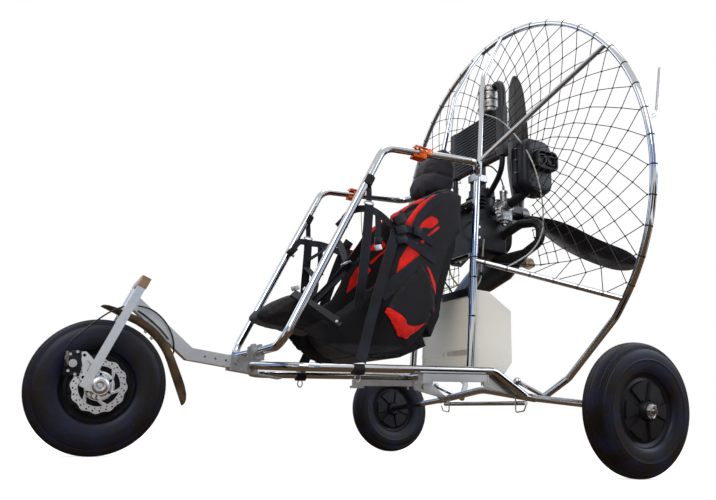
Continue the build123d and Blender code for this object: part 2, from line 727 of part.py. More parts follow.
# Reduction drive: two round ends under one cover, with the propeller's shaft
DRIVE_T = 46.0
drive_front = case_back + SEAT_GAP
drive_back = drive_front + DRIVE_T
drive_plane = Plane(origin=at(0, drive_back, 0), x_dir=(1, 0, 0), z_dir=(0, -1, 0))
drive_ends = (Pos(0, PROP_Z) * Circle(58)).edges() + (Pos(0, crank_z) * Circle(48)).edges()
drive = drive_plane * extrude(make_hull(drive_ends), DRIVE_T)
for z, radius in ((PROP_Z, 44), (crank_z, 32)):
    drive += rod(at(0, drive_back - 1, z), at(0, drive_back + 6, z), 2 * radius)
drive = cut_by(drive, engine)
shaft_end = PROP_AFT + SHAFT_BEYOND_PROP
drive += rod(at(0, drive_back, PROP_Z), at(0, shaft_end, PROP_Z), 2 * SHAFT_R)
save("reduction_drive", drive)

# Propeller: flat-bottomed blades of falling pitch, lofted from a few sections, and a front plate
PROP_HUB_R = 46.0
PROP_HUB_T = 36.0
PROP_PLATE_R = 40.0
PROP_PLATE_T = 8.0
BLADE_ROWS = (
    # radius, chord, thickness, pitch, lead
    (34, 44, 20, 34, 0),
    (110, 62, 20, 34, 2),
    (230, 100, 15, 24, -4),
    (400, 110, 11, 17, -14),
    (560, 92, 8, 13, -18),
    (670, 58, 6, 11, -10),
    (705, 20, 4, 11, -8),
)


def blade_section(radius, chord, thickness, pitch, lead):
    """A blade's section at one radius: a flat underside and a crowned back."""
    plane = Plane(origin=(radius, 0, 0), x_dir=(0, 0, 1), z_dir=(1, 0, 0))
    low = Vector(-chord / 2, 0)
    high = Vector(chord / 2, 0)
    back = ThreePointArc(low, Vector(0, thickness * 0.75), high)
    under = ThreePointArc(high, Vector(0, -thickness * 0.25), low)
    return plane * Pos(lead, 0) * Rot(0, 0, pitch) * make_face([back, under])


blade = loft([blade_section(*row) for row in BLADE_ROWS])
propeller = rod(Vector(0, -PROP_HUB_T / 2, 0), Vector(0, PROP_HUB_T / 2, 0), 2 * PROP_HUB_R)
for n in range(BLADES):
    propeller += Rot(0, -(BLADE_START + 360 / BLADES * n), 0) * blade
plate_back = PROP_HUB_T / 2 + PROP_PLATE_T
propeller += rod(Vector(0, 0, 0), Vector(0, plate_back, 0), 2 * PROP_PLATE_R)
propeller -= rod(Vector(0, -PROP_HUB_T, 0), Vector(0, 2 * PROP_HUB_T, 0), 2 * (SHAFT_R + RUN))
save("propeller", Pos(*at(0, PROP_AFT, PROP_Z)) * propeller)


# Radiator on two feet over the cylinder head, its hoses and the coolant bottle

RAD_TANK_W = 46.0
FINS = 16
room = mast_bend.Z - head_z
rad_low = head_z + room * RAD_STAND_SHARE
rad_h = room * RAD_SHARE
rad_mid = rad_low + rad_h / 2
core_w = 2 * (RAD_HALF_W - RAD_TANK_W)
radiator = box(0, RAD_AFT, rad_mid, core_w, RAD_T - 8, rad_h)
for side in (1, -1):
    side_tank = box(
        side * (RAD_HALF_W - RAD_TANK_W / 2), RAD_AFT, rad_mid, RAD_TANK_W, RAD_T, rad_h
    )
    radiator += fillet(side_tank.edges().filter_by(Axis.Z), 8)
    foot_low = head_z + SEAT_GAP
    radiator += box(side * 40, RAD_AFT, (foot_low + rad_low) / 2, 24, 6, rad_low - foot_low)
for n in range(FINS):
    radiator += box(0, RAD_AFT, rad_low + rad_h * (n + 0.5) / FINS, core_w, RAD_T, 4)
save("radiator", radiator)

HOSE_D = 24.0
hose_x = RAD_HALF_W - RAD_TANK_W / 2
left_hose = hose([
    at(hose_x, RAD_AFT, rad_low - SEAT_GAP), at(hose_x, RAD_AFT, rad_low - 36),
    at(hose_x - 34, RAD_AFT + 8, rad_low - 78), at(hose_x - 84, RAD_AFT + 16, rad_low - 108),
    at(40, CASE_AFT, head_z - 40),
], HOSE_D)
right_hose = hose([
    at(-hose_x, RAD_AFT, rad_low - SEAT_GAP), at(-hose_x, RAD_AFT, rad_low - 50),
    at(4 - hose_x, RAD_AFT + 4, rad_low - 110), at(28 - hose_x, RAD_AFT + 10, rad_low - 165),
    at(70 - hose_x, RAD_AFT + 16, rad_low - 205), at(-40, CASE_AFT, crank_z + CASE / 2 + 30),
], HOSE_D)
save("coolant_hoses", cut_by(left_hose, engine), cut_by(right_hose, engine))

bottle_low = rad_low + rad_h + SEAT_GAP
bottle_top = bottle_low + room * BOTTLE_SHARE
bottle = upright(bottle_low, bottle_top, BOTTLE_R, x=BOTTLE_X, aft=RAD_AFT)
save("coolant_bottle", fillet(bottle.edges(), 8))

# Air box with its two mouths and the boot that joins it to the carburettor
BOX_X = 172.0
BOX_AFT = 80.0
BOX_Z = 1217.0
MOUTH_R = 21.0
CARB_AFT = 40.0
CARB_Z = 1030.0
air_box = fillet(box(BOX_X, BOX_AFT, BOX_Z, 190, 130, 205).edges(), 34)
for aft in (BOX_AFT - 30, BOX_AFT + 32):
    air_box += rod(at(240, aft, BOX_Z + 23), at(286, aft, BOX_Z + 23), 54)
    air_box -= rod(at(258, aft, BOX_Z + 23), at(290, aft, BOX_Z + 23), 2 * MOUTH_R)
carb = rod(at(30, CARB_AFT, CARB_Z), at(150, CARB_AFT, CARB_Z), 44)
carb += box(105, CARB_AFT, CARB_Z - 30, 46, 46, 70)
carb += rod(at(105, CARB_AFT, CARB_Z), at(105, CARB_AFT - 2, CARB_Z + 62), 30)
carb += rod(at(105, CARB_AFT, CARB_Z - 30), at(105, CARB_AFT, CARB_Z - 76), 34)
carb = cut_by(carb, engine)
boot = rod(at(142, CARB_AFT + 4, CARB_Z), at(146, CARB_AFT + 24, CARB_Z + 96), 40)
air_box = cut_by(air_box + boot, carb)
save("air_box", air_box)
save("carburettor", carb)

# Exhaust: a pipe looping out of the cylinder, a fat tapered chamber lying across under the
# engine, and a short end can behind it
PIPE_D = 36.0
CHAMBER_START = (190, 70, 812)
CHAMBER_END = (-200, 44, 700)
CONE_ROWS = (
    # along the chamber, radius
    (0, 19),
    (130, 56),
    (250, 56),
    (370, 22),
)
pipe = tube([at(56, 56, crank_z), at(150, 86, crank_z + 43), at(262, 92, crank_z + 25),
             at(266, 88, crank_z - 55), at(*CHAMBER_START)], [50, 46, 40], PIPE_D)
pipe = cut_by(pipe, engine)
chamber_dir = (at(*CHAMBER_END) - at(*CHAMBER_START)).normalized()
chamber_turn = Plane(origin=at(*CHAMBER_START), z_dir=chamber_dir)
chamber_plane = Plane(
    origin=at(*CHAMBER_START), x_dir=chamber_turn.x_dir, z_dir=-chamber_turn.y_dir
)
chamber_profile = Polyline((0, 0), *[(r, d) for d, r in CONE_ROWS], (0, CONE_ROWS[-1][0]), close=True)
chamber = chamber_plane * revolve(make_face(chamber_profile), Axis.Y, 360)
chamber = cut_by(chamber, pipe, engine)
can = rod(at(64, 140, 822), at(132, 148, 790), 46)
can += rod(at(128, 147.6, 792), at(150, 150, 782), 20)
can = cut_by(can, chamber, pipe, engine)
save("exhaust_pipe", pipe)
save("exhaust_chamber", chamber)
save("silencer", can)


# Fuel tank: a translucent moulded can with cut-off back corners and a rib across its front

TANK_FILLET = 9.0
tank_back = TANK_FRONT + TANK_DEPTH
tank_top = TANK_LOW + TANK_H
tank = side_plate(
    [(TANK_FRONT, TANK_LOW), (tank_back - 40, TANK_LOW), (tank_back, TANK_LOW + 50),
     (tank_back, tank_top - 66), (tank_back - 110, tank_top), (TANK_FRONT, tank_top)],
    0, 2 * TANK_HALF_W,
)
tank = fillet(tank.edges(), TANK_FILLET)
tank += box(-TANK_HALF_W / 2, TANK_FRONT, TANK_LOW + 78, TANK_HALF_W - 24, 10, 16)
save("fuel_tank", tank)

CLAMP_T = 5.0
clamp_front = TANK_FRONT - SEAT_GAP - CLAMP_T / 2
tank_clamp = box(72, clamp_front, tank_top - 10, 184, CLAMP_T, 30)
tank_clamp += box(72, TANK_FRONT + 10, tank_top + SEAT_GAP + CLAMP_T / 2, 184, 31, CLAMP_T)
tank_clamp += rod(at(94, clamp_front - 9, tank_top - 12), at(94, clamp_front, tank_top - 12), 15)
low_strap = box(TANK_HALF_W / 2 + 8, clamp_front, TANK_LOW + 78, TANK_HALF_W - 24, CLAMP_T, 16)
low_strap -= rod(at(FOOT_X, FOOT_AFT, TANK_LOW), at(FOOT_X, FOOT_AFT + 10, tank_top), 30)
save("tank_clamp", tank_clamp, low_strap)

SHELF_T = 5.0
shelf = box(0, TANK_FRONT + 23, TANK_LOW - SHELF_T / 2 - SEAT_GAP, 2 * RAIL_X - 20, 50, SHELF_T)
save("tank_shelf", cut_by(shelf, rails["left"], rails["right"], hoops["left"], hoops["right"],
                          *gussets))

# Fuel lines from the tank's top up to the lower cross bar and the carburettor
FUEL_D = 7.0
BALL_R = 9.0
line_low = tank_top + SEAT_GAP
bar_low = ENGINE_BARS[0][1] - CROSS_TUBE / 2 - SEAT_GAP
black_line = hose([
    at(-2, -144, line_low), at(-2, -144, tank_top + 20), at(0, -196, tank_top + 64), at(0, -196, bar_low),
], FUEL_D)
yellow_line = hose([
    at(52, -140, line_low), at(52, -140, tank_top + 24), at(50, -196, tank_top + 72), at(50, -196, bar_low),
], FUEL_D)
ball_line = rod(at(118, -92, tank_top + 74), at(118, -76, crank_z - 40), FUEL_D)
for z in (tank_top + 80, tank_top + 146):
    ball_line += Pos(*at(118, -90, z)) * Sphere(BALL_R)
ball_line += box(98, -90, tank_top + 146, 42, 12, 12)
ball_line = cut_by(ball_line, *plates)
tank_line = hose([
    at(104, -110, line_low), at(104, -110, tank_top + 22), at(117, -96, tank_top + 48),
    at(118, -92, tank_top + 74),
], FUEL_D)
save("fuel_lines", black_line, yellow_line, ball_line + tank_line)

# Clear vent hose from the mast, past the air box and down to the lower guard bar
VENT_D = 6.0
vent = hose([
    at(131, -91, 1410), at(146, -58, 1404), at(186, -26, 1370), at(222, 0, 1310), at(262, 20, 1240),
    at(290, 36, 1160), at(293, 60, 1080), at(291, 78, 1010), at(290, 84, 940), at(288, 76, 872),
    at(290, 40, 812), at(296, -20, 760), at(300, -108, 712),
], VENT_D)
save("vent_hose", cut_by(vent, masts["left"], lower_bars[0], air_box, pipe))


# Soft seat, as plain closed pads: a pan with its leg tongue, a back, a headrest and two wings

pan_front = -760.0
pan_back = -365.0
seat_w = 2 * SEAT_HALF_W
save("seat_pan", side_plate(cabin_outline([
    (pan_front, 362), (-640, 326), (-473, 353), (pan_back, 412), (-400, 470), (-480, 415),
    (-620, 388), (pan_front, 420),
]), 0, seat_w))
tongue_back = pan_front - SEAT_GAP
save("seat_tongue", side_plate(cabin_outline([
    (-1016, 440), (-857, 399), (tongue_back, 362), (tongue_back, 420), (-860, 450), (-1010, 470),
]), 0, 240))
back_pad = side_plate(cabin_outline([
    (pan_back + SEAT_GAP, 412.4), (-318, 508), (-292, 624), (-240, 800), (-236, 1036), (-318, 1036),
    (-326, 800), (-378, 640), (-396, 560), (-400 + SEAT_GAP, 470.4),
]), 0, seat_w)
save("seat_back", back_pad)
headrest = cross_rod(cabin(-300), 1082, -130, 130, 120)
save("headrest", cut_by(headrest, back_pad))
wings = []
for side in (1, -1):
    wings.append(side_plate(cabin_outline([
        (-745, 420), (-640, 330), (-473, 357), (-350, 440), (-300, 624), (-240, 800), (-238, 985),
        (-400, 985), (-500, 900), (-556, 778), (-600, 640), (-690, 560),
    ]), side * (SEAT_HALF_W + WING_T / 2 + SEAT_GAP), WING_T))
save("seat_wings", *wings)


def strip(start, end):
    """A flat strap from one point to another, its face turned to the side."""
    along = (end - start).normalized()
    edge = along.cross(Vector(1, 0, 0)).normalized()
    plane = Plane(origin=start, x_dir=edge, z_dir=along)
    return plane * extrude(Rectangle(STRAP_W, STRAP_T), (end - start).length)


# Side straps: a loop on the hoop, down past the wing, and a loop round the rail
strap_x = SEAT_HALF_W + WING_T + 2 * SEAT_GAP + STRAP_T / 2
straps = []
for name, side in SIDES:
    low_aft = cabin(-688)
    points = sided(side, [
        (HOOP_X - 2, cabin(-686), 950), (HOOP_X - 14, cabin(-668), 850), (strap_x, cabin(-600), 770),
        (strap_x, cabin(-640), 350), (240, cabin(-676), 318), (RAIL_X, low_aft, rail_z(low_aft) + 1),
    ])
    strap = strip(points[0], points[1])
    for first, second in zip(points[1:-1], points[2:]):
        strap += strip(first, second)
    loop_d = MAIN_TUBE + 10
    strap += rod(*sided(side, [(HOOP_X, cabin(-680), 960), (HOOP_X, cabin(-696), 925)]), loop_d)
    loop_ends = [(RAIL_X, aft, rail_z(aft)) for aft in (low_aft + 20, low_aft - 20)]
    strap += rod(*sided(side, loop_ends), loop_d)
    straps.append(cut_by(strap, hoops[name], rails[name]))
save("seat_straps", *straps)
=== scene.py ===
import json
from math import cos, radians, sin, tau

import bmesh
import bpy
from mathutils import Matrix, Vector, noise


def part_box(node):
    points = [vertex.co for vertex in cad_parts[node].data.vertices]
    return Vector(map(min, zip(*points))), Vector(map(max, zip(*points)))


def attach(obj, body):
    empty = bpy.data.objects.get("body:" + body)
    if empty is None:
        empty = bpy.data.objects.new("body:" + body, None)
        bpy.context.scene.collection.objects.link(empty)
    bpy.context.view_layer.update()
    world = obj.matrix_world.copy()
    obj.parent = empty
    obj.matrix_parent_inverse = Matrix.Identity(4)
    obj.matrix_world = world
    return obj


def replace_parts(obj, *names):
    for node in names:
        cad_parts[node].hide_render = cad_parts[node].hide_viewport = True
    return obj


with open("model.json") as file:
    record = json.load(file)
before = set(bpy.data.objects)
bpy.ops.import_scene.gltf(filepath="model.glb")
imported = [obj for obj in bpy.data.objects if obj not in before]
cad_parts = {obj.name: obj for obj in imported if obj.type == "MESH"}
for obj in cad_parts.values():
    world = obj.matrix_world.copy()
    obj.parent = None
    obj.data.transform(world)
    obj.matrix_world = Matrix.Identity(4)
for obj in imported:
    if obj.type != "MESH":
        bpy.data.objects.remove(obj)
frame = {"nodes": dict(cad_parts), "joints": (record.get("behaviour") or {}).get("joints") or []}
nodes = frame["nodes"]
joints = {joint["name"]: joint for joint in frame["joints"]}
scene = bpy.context.scene
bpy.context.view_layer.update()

# Camera. The machine is seen from its left front, by a camera held close to the floor, so the
# frame rises above it. Places on the machine are given across, behind the rear axle and up.
REAR_Y = joints["rear_left_spin"]["pos_m"][1]
NOSE_R = joints["nose_wheel_spin"]["pos_m"][2]
CAMERA_TURN = (104.671, -2.204, 63.223)
CAMERA_LENS = 33.15


def at(x, aft, z):
    """A point, given across, behind the rear axle and above the floor, in metres."""
    return Vector((x, REAR_Y + aft, z))


camera = bpy.data.objects.new("camera", bpy.data.cameras.new("camera"))
scene.collection.objects.link(camera)
camera.location = at(2.192, -1.6604, 0.1295)
camera.rotation_euler = [radians(turn) for turn in CAMERA_TURN]
camera.data.sensor_width = 36
camera.data.lens = CAMERA_LENS
scene.camera = camera

# Studio. A seamless pale floor runs out to a white surround, and broad soft lamps stand round the
# machine. Glowing boards that only polished metal sees, brown low down and under the machine and blue
# high up, are a painted reflection of ground and sky that gives its tubes their dark edges.
SURROUND = "#ffffff"
FLOOR = "#f4f4f3"
FLOOR_HALF = 60.0
FLOOR_LIFT = 0.74
WORLD_LIGHT = 0.36


def hex_colour(text):
    """An sRGB hex colour as the linear values that Blender takes."""
    parts = [int(text[i:i + 2], 16) / 255 for i in (1, 3, 5)]
    return [p / 12.92 if p <= 0.04045 else ((p + 0.055) / 1.055) ** 2.4 for p in parts] + [1.0]


def add(tree, kind, inputs=None, **settings):
    """Add a shader node, with its own settings and with values or links for its sockets."""
    node = tree.nodes.new("ShaderNode" + kind)
    for name, value in settings.items():
        setattr(node, name, value)
    for name, value in (inputs or {}).items():
        if isinstance(value, bpy.types.NodeSocket):
            tree.links.new(value, node.inputs[name])
        else:
            node.inputs[name].default_value = value
    return node


def link(name, data):
    """Put a new object with this data in the scene."""
    thing = bpy.data.objects.new(name, data)
    scene.collection.objects.link(thing)
    return thing


def bare_tree(owner):
    """The emptied shader tree of a world or a material."""
    owner.use_nodes = True
    owner.node_tree.nodes.clear()
    return owner.node_tree


def shows(tree, use_clamp=False):
    """How far a ray shows what it meets: one from the camera, a mirrored one or one let through."""
    path = add(tree, "LightPath")
    two = add(tree, "Math", {0: path.outputs["Is Camera Ray"], 1: path.outputs["Is Glossy Ray"]},
              operation="ADD")
    return add(tree, "Math", {0: two.outputs[0], 1: path.outputs["Is Transmission Ray"]},
               operation="ADD", use_clamp=use_clamp).outputs[0]


def sheet(name, width, height):
    """A flat level mesh of one face round the origin."""
    mesh = bmesh.new()
    bmesh.ops.create_grid(mesh, x_segments=1, y_segments=1, size=0.5)
    bmesh.ops.scale(mesh, vec=(width, height, 1), verts=mesh.verts)
    data = bpy.data.meshes.new(name)
    mesh.to_mesh(data)
    mesh.free()
    return data


scene.view_settings.view_transform = "Standard"
world = bpy.data.worlds.new("studio")
scene.world = world
tree = bare_tree(world)
lit = add(tree, "Background", {"Color": hex_colour("#eef2f8"), "Strength": WORLD_LIGHT})
shown = add(tree, "Background", {"Color": hex_colour(SURROUND), "Strength": 1.0})
mix = add(tree, "MixShader", {0: shows(tree, use_clamp=True), 1: lit.outputs[0], 2: shown.outputs[0]})
add(tree, "OutputWorld", {"Surface": mix.outputs[0]})

floor = link("floor", sheet("floor", 2 * FLOOR_HALF, 2 * FLOOR_HALF))
material = bpy.data.materials.new("floor paint")
tree = bare_tree(material)
lift = add(tree, "Math", {0: shows(tree), 1: FLOOR_LIFT}, operation="MULTIPLY")
paint = add(tree, "BsdfDiffuse", {"Color": hex_colour(FLOOR)})
glow = add(tree, "Emission", {"Color": hex_colour(SURROUND), "Strength": lift.outputs[0]})
both = add(tree, "AddShader", {0: paint.outputs[0], 1: glow.outputs[0]})
add(tree, "OutputMaterial", {"Surface": both.outputs[0]})
floor.data.materials.append(material)

LAMPS = (
    # name, place, size, power, colour
    ("key", (3.4, -3.0, 3.8), 2.4, 120, "#fff4e6"),
    ("fill", (-3.6, -3.0, 2.6), 2.6, 30, "#eaf1ff"),
    ("top", (0.2, 0.6, 4.4), 2.6, 50, "#f4f7ff"),
    ("back", (2.4, 3.6, 2.8), 2.2, 70, "#eef4ff"),
)
AIM = Vector((0, 0, 0.8))
for name, place, size, power, tint in LAMPS:
    lamp = link(name, bpy.data.lights.new(name, "AREA"))
    lamp.data.shape = "SQUARE"
    lamp.data.size = size
    lamp.data.energy = power
    lamp.data.color = hex_colour(tint)[:3]
    lamp.location = place
    lamp.rotation_euler = (AIM - lamp.location).to_track_quat("-Z", "Y").to_euler()

# glowing boards, hidden from the camera and from diffuse light: a painted reflection of the ground and the
# sky
PAINTED_REFLECTION_BOARDS = [
    # name, angle round the machine, distance, height of the middle, width, height, colour
    ("ground", 0, 0.0, 0.002, 7.0, 7.0, "#6b5540"),
]
for n in range(6):
    PAINTED_REFLECTION_BOARDS.append(("earth", 20 + 60 * n, 5.0, 0.55, 3.6, 1.15, "#2c1c10"))
    PAINTED_REFLECTION_BOARDS.append(("sky", 60 * n, 4.6, 2.4, 2.6, 1.6, "#4f8fe2"))
for name, angle, distance, rise, width, height, tint in PAINTED_REFLECTION_BOARDS:
    reflection_board = link(name + "_board", sheet(name, width, height))
    reflection_board.location = (distance * cos(radians(angle)), distance * sin(radians(angle)), rise)
    reflection_board.rotation_euler = (AIM - reflection_board.location).to_track_quat("Z", "Y").to_euler()
    material = bpy.data.materials.new(name)
    tree = bare_tree(material)
    glow = add(tree, "Emission", {"Color": hex_colour(tint), "Strength": 1.0})
    add(tree, "OutputMaterial", {"Surface": glow.outputs[0]})
    reflection_board.data.materials.append(material)
    reflection_board.visible_camera = False
    reflection_board.visible_diffuse = False
    reflection_board.visible_shadow = False
    reflection_board.visible_transmission = False

# Tyres. Three balloon tyres of black rubber, moulded with fine ribs that run round the shoulders
# and crown, and with two raised lines on each wall. Fine dust and specks sit on the walls.
BEAD_R = 0.108
CAMBER = 5.0
SIDES = ((1, "left"), (-1, "right"))
TYRES = (
    # node, joint, outer radius, width, lean, body
    ("rear_tyre_left", "rear_left_spin", 0.200, 0.092, CAMBER, "rear_wheel_left"),
    ("rear_tyre_right", "rear_right_spin", 0.200, 0.092, -CAMBER, "rear_wheel_right"),
    ("nose_tyre", "nose_wheel_spin", 0.205, 0.096, 0.0, "nose_wheel"),
)
TYRE_STEPS = 48
TYRE_TURNS = 96
RIBS = 7
RIB_DEPTH = 0.0024
RAISED_LINES = (0.118, 0.150)


def start_material(name):
    """A new material: it, its nodes, its surface shader and the place that a pattern reads."""
    material = bpy.data.materials.new(name)
    material.use_nodes = True
    tree = material.node_tree
    return material, tree, tree.nodes["Principled BSDF"], add(tree, "TexCoord").outputs["Object"]


def two_tone(tree, place, scale, detail, dark, light, ends=(0.0, 1.0)):
    """A cloudy blend between two hex colours, as it lies between two levels of a noise."""
    cloud = add(tree, "TexNoise", {"Vector": place, "Scale": scale, "Detail": detail})
    shade = add(tree, "ValToRGB", {"Fac": cloud.outputs["Fac"]})
    for element, end, tone in zip(shade.color_ramp.elements, ends, (dark, light)):
        element.position = end
        element.color = hex_colour(tone)
    return shade.outputs[0]


def piece(name, mesh, material, body, sharp=35):
    """Close a bmesh and make it a smooth-shaded object at the origin that rides on a body."""
    bmesh.ops.remove_doubles(mesh, verts=mesh.verts, dist=1e-6)
    bmesh.ops.recalc_face_normals(mesh, faces=mesh.faces)
    data = bpy.data.meshes.new(name)
    mesh.to_mesh(data)
    mesh.free()
    data.shade_smooth()
    data.set_sharp_from_angle(angle=radians(sharp))
    data.materials.append(material)
    thing = link(name, data)
    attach(thing, body)
    return thing


def turned(mesh, outline, steps, place=Matrix.Identity(4)):
    """Spin an outline of (along, radius) points about the X axis, then put it in place."""
    before = set(mesh.verts)
    verts = [mesh.verts.new((along, 0, radius)) for along, radius in outline]
    edges = [mesh.edges.new(pair) for pair in zip(verts, verts[1:])]
    bmesh.ops.spin(
        mesh, geom=verts + edges, cent=(0, 0, 0), axis=(1, 0, 0), angle=tau, steps=steps, use_merge=True
    )
    bmesh.ops.transform(mesh, matrix=place, verts=[vert for vert in mesh.verts if vert not in before])


# moulded rubber: nearly black, its cloudy navy patches a painted blue sheen, with a dull sheen and grey dust
# in small specks
rubber, tree, shader, place = start_material("tyre rubber with painted blue sheen")
# brown-black mixed with navy: the navy is a painted blue sheen
shade = two_tone(tree, place, 14.0, 6.0, "#0d0807", "#0c122c", (0.42, 0.62))
specks = add(tree, "TexNoise", {"Vector": place, "Scale": 260.0, "Detail": 2.0})
dust = add(tree, "MapRange", {"Value": specks.outputs["Fac"], "From Min": 0.66, "From Max": 0.74})
colour = add(tree, "MixRGB", {"Fac": dust.outputs[0], "Color1": shade, "Color2": hex_colour("#332e2a")})
bump = add(tree, "Bump", {"Height": specks.outputs["Fac"], "Strength": 0.12, "Distance": 0.001})
tree.links.new(colour.outputs[0], shader.inputs["Base Color"])
tree.links.new(bump.outputs[0], shader.inputs["Normal"])
shader.inputs["Roughness"].default_value = 0.44
shader.inputs["Specular IOR Level"].default_value = 0.3


def tyre_outline(radius, width):
    """Half of a tyre's section from bead to crown and its mirror image, as (along, radius)."""
    half = width / 2
    tall = radius - BEAD_R
    side = []
    for step in range(9):
        turn = radians(90 * step / 8)
        side.append((half * (0.72 + 0.28 * sin(turn)), BEAD_R + tall * 0.42 * (1 - cos(turn))))
    for step in range(1, TYRE_STEPS + 1):
        share = step / TYRE_STEPS
        turn = radians(90 * share)
        along = half * cos(turn) ** 0.8
        up = BEAD_R + tall * (0.42 + 0.58 * sin(turn) ** 0.85)
        ribbed = RIB_DEPTH * (0.5 - 0.5 * cos(tau * RIBS * (share - 0.36) / 0.64)) if share > 0.36 else 0
        side.append((along - ribbed * cos(turn), up - ribbed * sin(turn)))
    side = [
        (along + 0.0012 * max(0, 1 - min(abs(up - line) for line in RAISED_LINES) / 0.002), up)
        for along, up in side
    ]
    return side + [(-along, up) for along, up in reversed(side[:-1])]


def wheel_place(joint, lean):
    """A wheel's centre, turned so that X runs out along its axle."""
    return Matrix.Translation(joints[joint]["pos_m"]) @ Matrix.Rotation(radians(lean), 4, "Y")


for node, joint, radius, width, lean, body in TYRES:
    mesh = bmesh.new()
    outline = tyre_outline(radius, width)
    outline.append((outline[0][0] - 0.004, BEAD_R - 0.002))
    turned(mesh, outline + [outline[0]], TYRE_TURNS, wheel_place(joint, lean))
    tyre = piece(node + "_ribbed", mesh, rubber, body)
    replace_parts(tyre, node)

# Wheel centres. Each rim is moulded in one piece from black glass-filled nylon, with a dished face
# of six sunk wedges between broad spokes. A washer and a lynch pin hold each rear one.
# glass-filled nylon: black and softly glossy, with a fine grain from the mould
nylon, tree, shader, place = start_material("moulded nylon")
grain = add(tree, "TexNoise", {"Vector": place, "Scale": 420.0, "Detail": 3.0})
bump = add(tree, "Bump", {"Height": grain.outputs["Fac"], "Strength": 0.15, "Distance": 0.0006})
shade = two_tone(tree, place, 22.0, 4.0, "#0a0706", "#11131d")
tree.links.new(shade, shader.inputs["Base Color"])
tree.links.new(bump.outputs[0], shader.inputs["Normal"])
shader.inputs["Roughness"].default_value = 0.42
shader.inputs["Specular IOR Level"].default_value = 0.25

# zinc-plated steel: pale grey with a faint mottle, brighter than bare steel and less than chrome
zinc, tree, shader, place = start_material("zinc-plated steel")
mottle = add(tree, "TexNoise", {"Vector": place, "Scale": 90.0, "Detail": 5.0})
shade = two_tone(tree, place, 90.0, 5.0, "#9a9c9e", "#d2d3d2")
rough = add(tree, "MapRange", {"Value": mottle.outputs["Fac"], "To Min": 0.24, "To Max": 0.42})
tree.links.new(shade, shader.inputs["Base Color"])
tree.links.new(rough.outputs[0], shader.inputs["Roughness"])
shader.inputs["Metallic"].default_value = 1.0

RIM_FACE = (
    # along the axle, radius: from the bead's lip in over the face to the hub
    (0.0340, 0.1085), (0.0365, 0.1125), (0.0335, 0.1135), (0.0300, 0.1085), (0.0270, 0.1040),
    (0.0235, 0.0960), (0.0250, 0.0900), (0.0275, 0.0870), (0.0300, 0.0300), (0.0440, 0.0270),
    (0.0480, 0.0240), (0.0480, 0.0110),
)
WEDGES = 6


def rim(name, node, place, side, body):
    """A moulded rim: the same face on both sides, with its wedges sunk between the spokes."""
    mesh = bmesh.new()
    outline = [(side * x, r) for x, r in RIM_FACE]
    turned(mesh, outline + [(-x, r) for x, r in reversed(outline)] + [outline[0]], 96)
    bmesh.ops.remove_doubles(mesh, verts=mesh.verts, dist=1e-6)
    bmesh.ops.recalc_face_normals(mesh, faces=mesh.faces)
    for n in range(WEDGES):
        for way in (1, -1):
            sunk = []
            for face in mesh.faces:
                middle = face.calc_center_median()
                turn = (Vector((middle.y, middle.z)).angle_signed(Vector((0, 1))) / tau * WEDGES - n) % WEDGES
                flat = abs(face.normal.x) > 0.9 and 0.035 < middle.yz.length < 0.085
                if flat and middle.x * way > 0 and 0.2 < turn < 0.8:
                    sunk.append(face)
            bmesh.ops.inset_region(mesh, faces=sunk, thickness=0.003, depth=-0.007, use_even_offset=True)
    bmesh.ops.transform(mesh, matrix=place, verts=mesh.verts)
    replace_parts(piece(name, mesh, nylon, body, sharp=28), node)


for side, word in SIDES:
    place = wheel_place("rear_" + word + "_spin", side * CAMBER)
    rim("rear_wheel_face_" + word, "rear_rim_" + word, place, side, "rear_wheel_" + word)
rim("nose_wheel_face", "nose_rim", wheel_place("nose_wheel_spin", 0), 1, "nose_wheel")


def bar(mesh, start, end, radius, segments=16, end_radius=None):
    """A round bar between two points."""
    start, end = Vector(start), Vector(end)
    turn = (end - start).to_track_quat("Z", "Y").to_matrix().to_4x4()
    bmesh.ops.create_cone(
        mesh, cap_ends=True, segments=segments, radius1=radius,
        radius2=radius if end_radius is None else end_radius, depth=(end - start).length,
        matrix=Matrix.Translation((start + end) / 2) @ turn,
    )


def cords(name, runs, diameter, material, body):
    """Smooth round cords that follow each run of points, as one piece."""
    data = bpy.data.curves.new(name, "CURVE")
    data.dimensions = "3D"
    data.bevel_depth = diameter / 2
    data.bevel_resolution = 3
    data.resolution_u = 8
    data.use_fill_caps = True
    for run in runs:
        spline = data.splines.new("NURBS")
        spline.points.add(len(run) - 1)
        for point, spot in zip(spline.points, run):
            point.co = (*spot, 1.0)
        spline.order_u = 3
        spline.use_endpoint_u = True
    data.materials.append(material)
    thing = link(name, data)
    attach(thing, body)
    return thing


# the axle nut's outer face: half of the hub, a gap and the nut
NUT_FACE = 0.048 + 0.002 + 0.012
for side, word in SIDES:
    place = wheel_place("rear_" + word + "_spin", side * CAMBER)
    mesh = bmesh.new()
    inner, outer = (place @ Vector((side * (NUT_FACE - back), 0, 0)) for back in (0.013, 0.010))
    bar(mesh, inner, outer, 0.021, 32)
    piece("hub_washer_" + word, mesh, zinc, "frame")
    loop = [(0.004, 0, 0.016), (0.004, 0, -0.016), (0.004, -0.014, -0.020), (0.006, -0.024, -0.010),
            (0.006, -0.024, 0.010), (0.004, -0.014, 0.020), (0.004, 0, 0.016)]
    ring = [place @ Vector((side * (NUT_FACE + x), y, z)) for x, y, z in loop]
    cords("lynch_pin_" + word, [ring], 0.004, zinc, "frame")

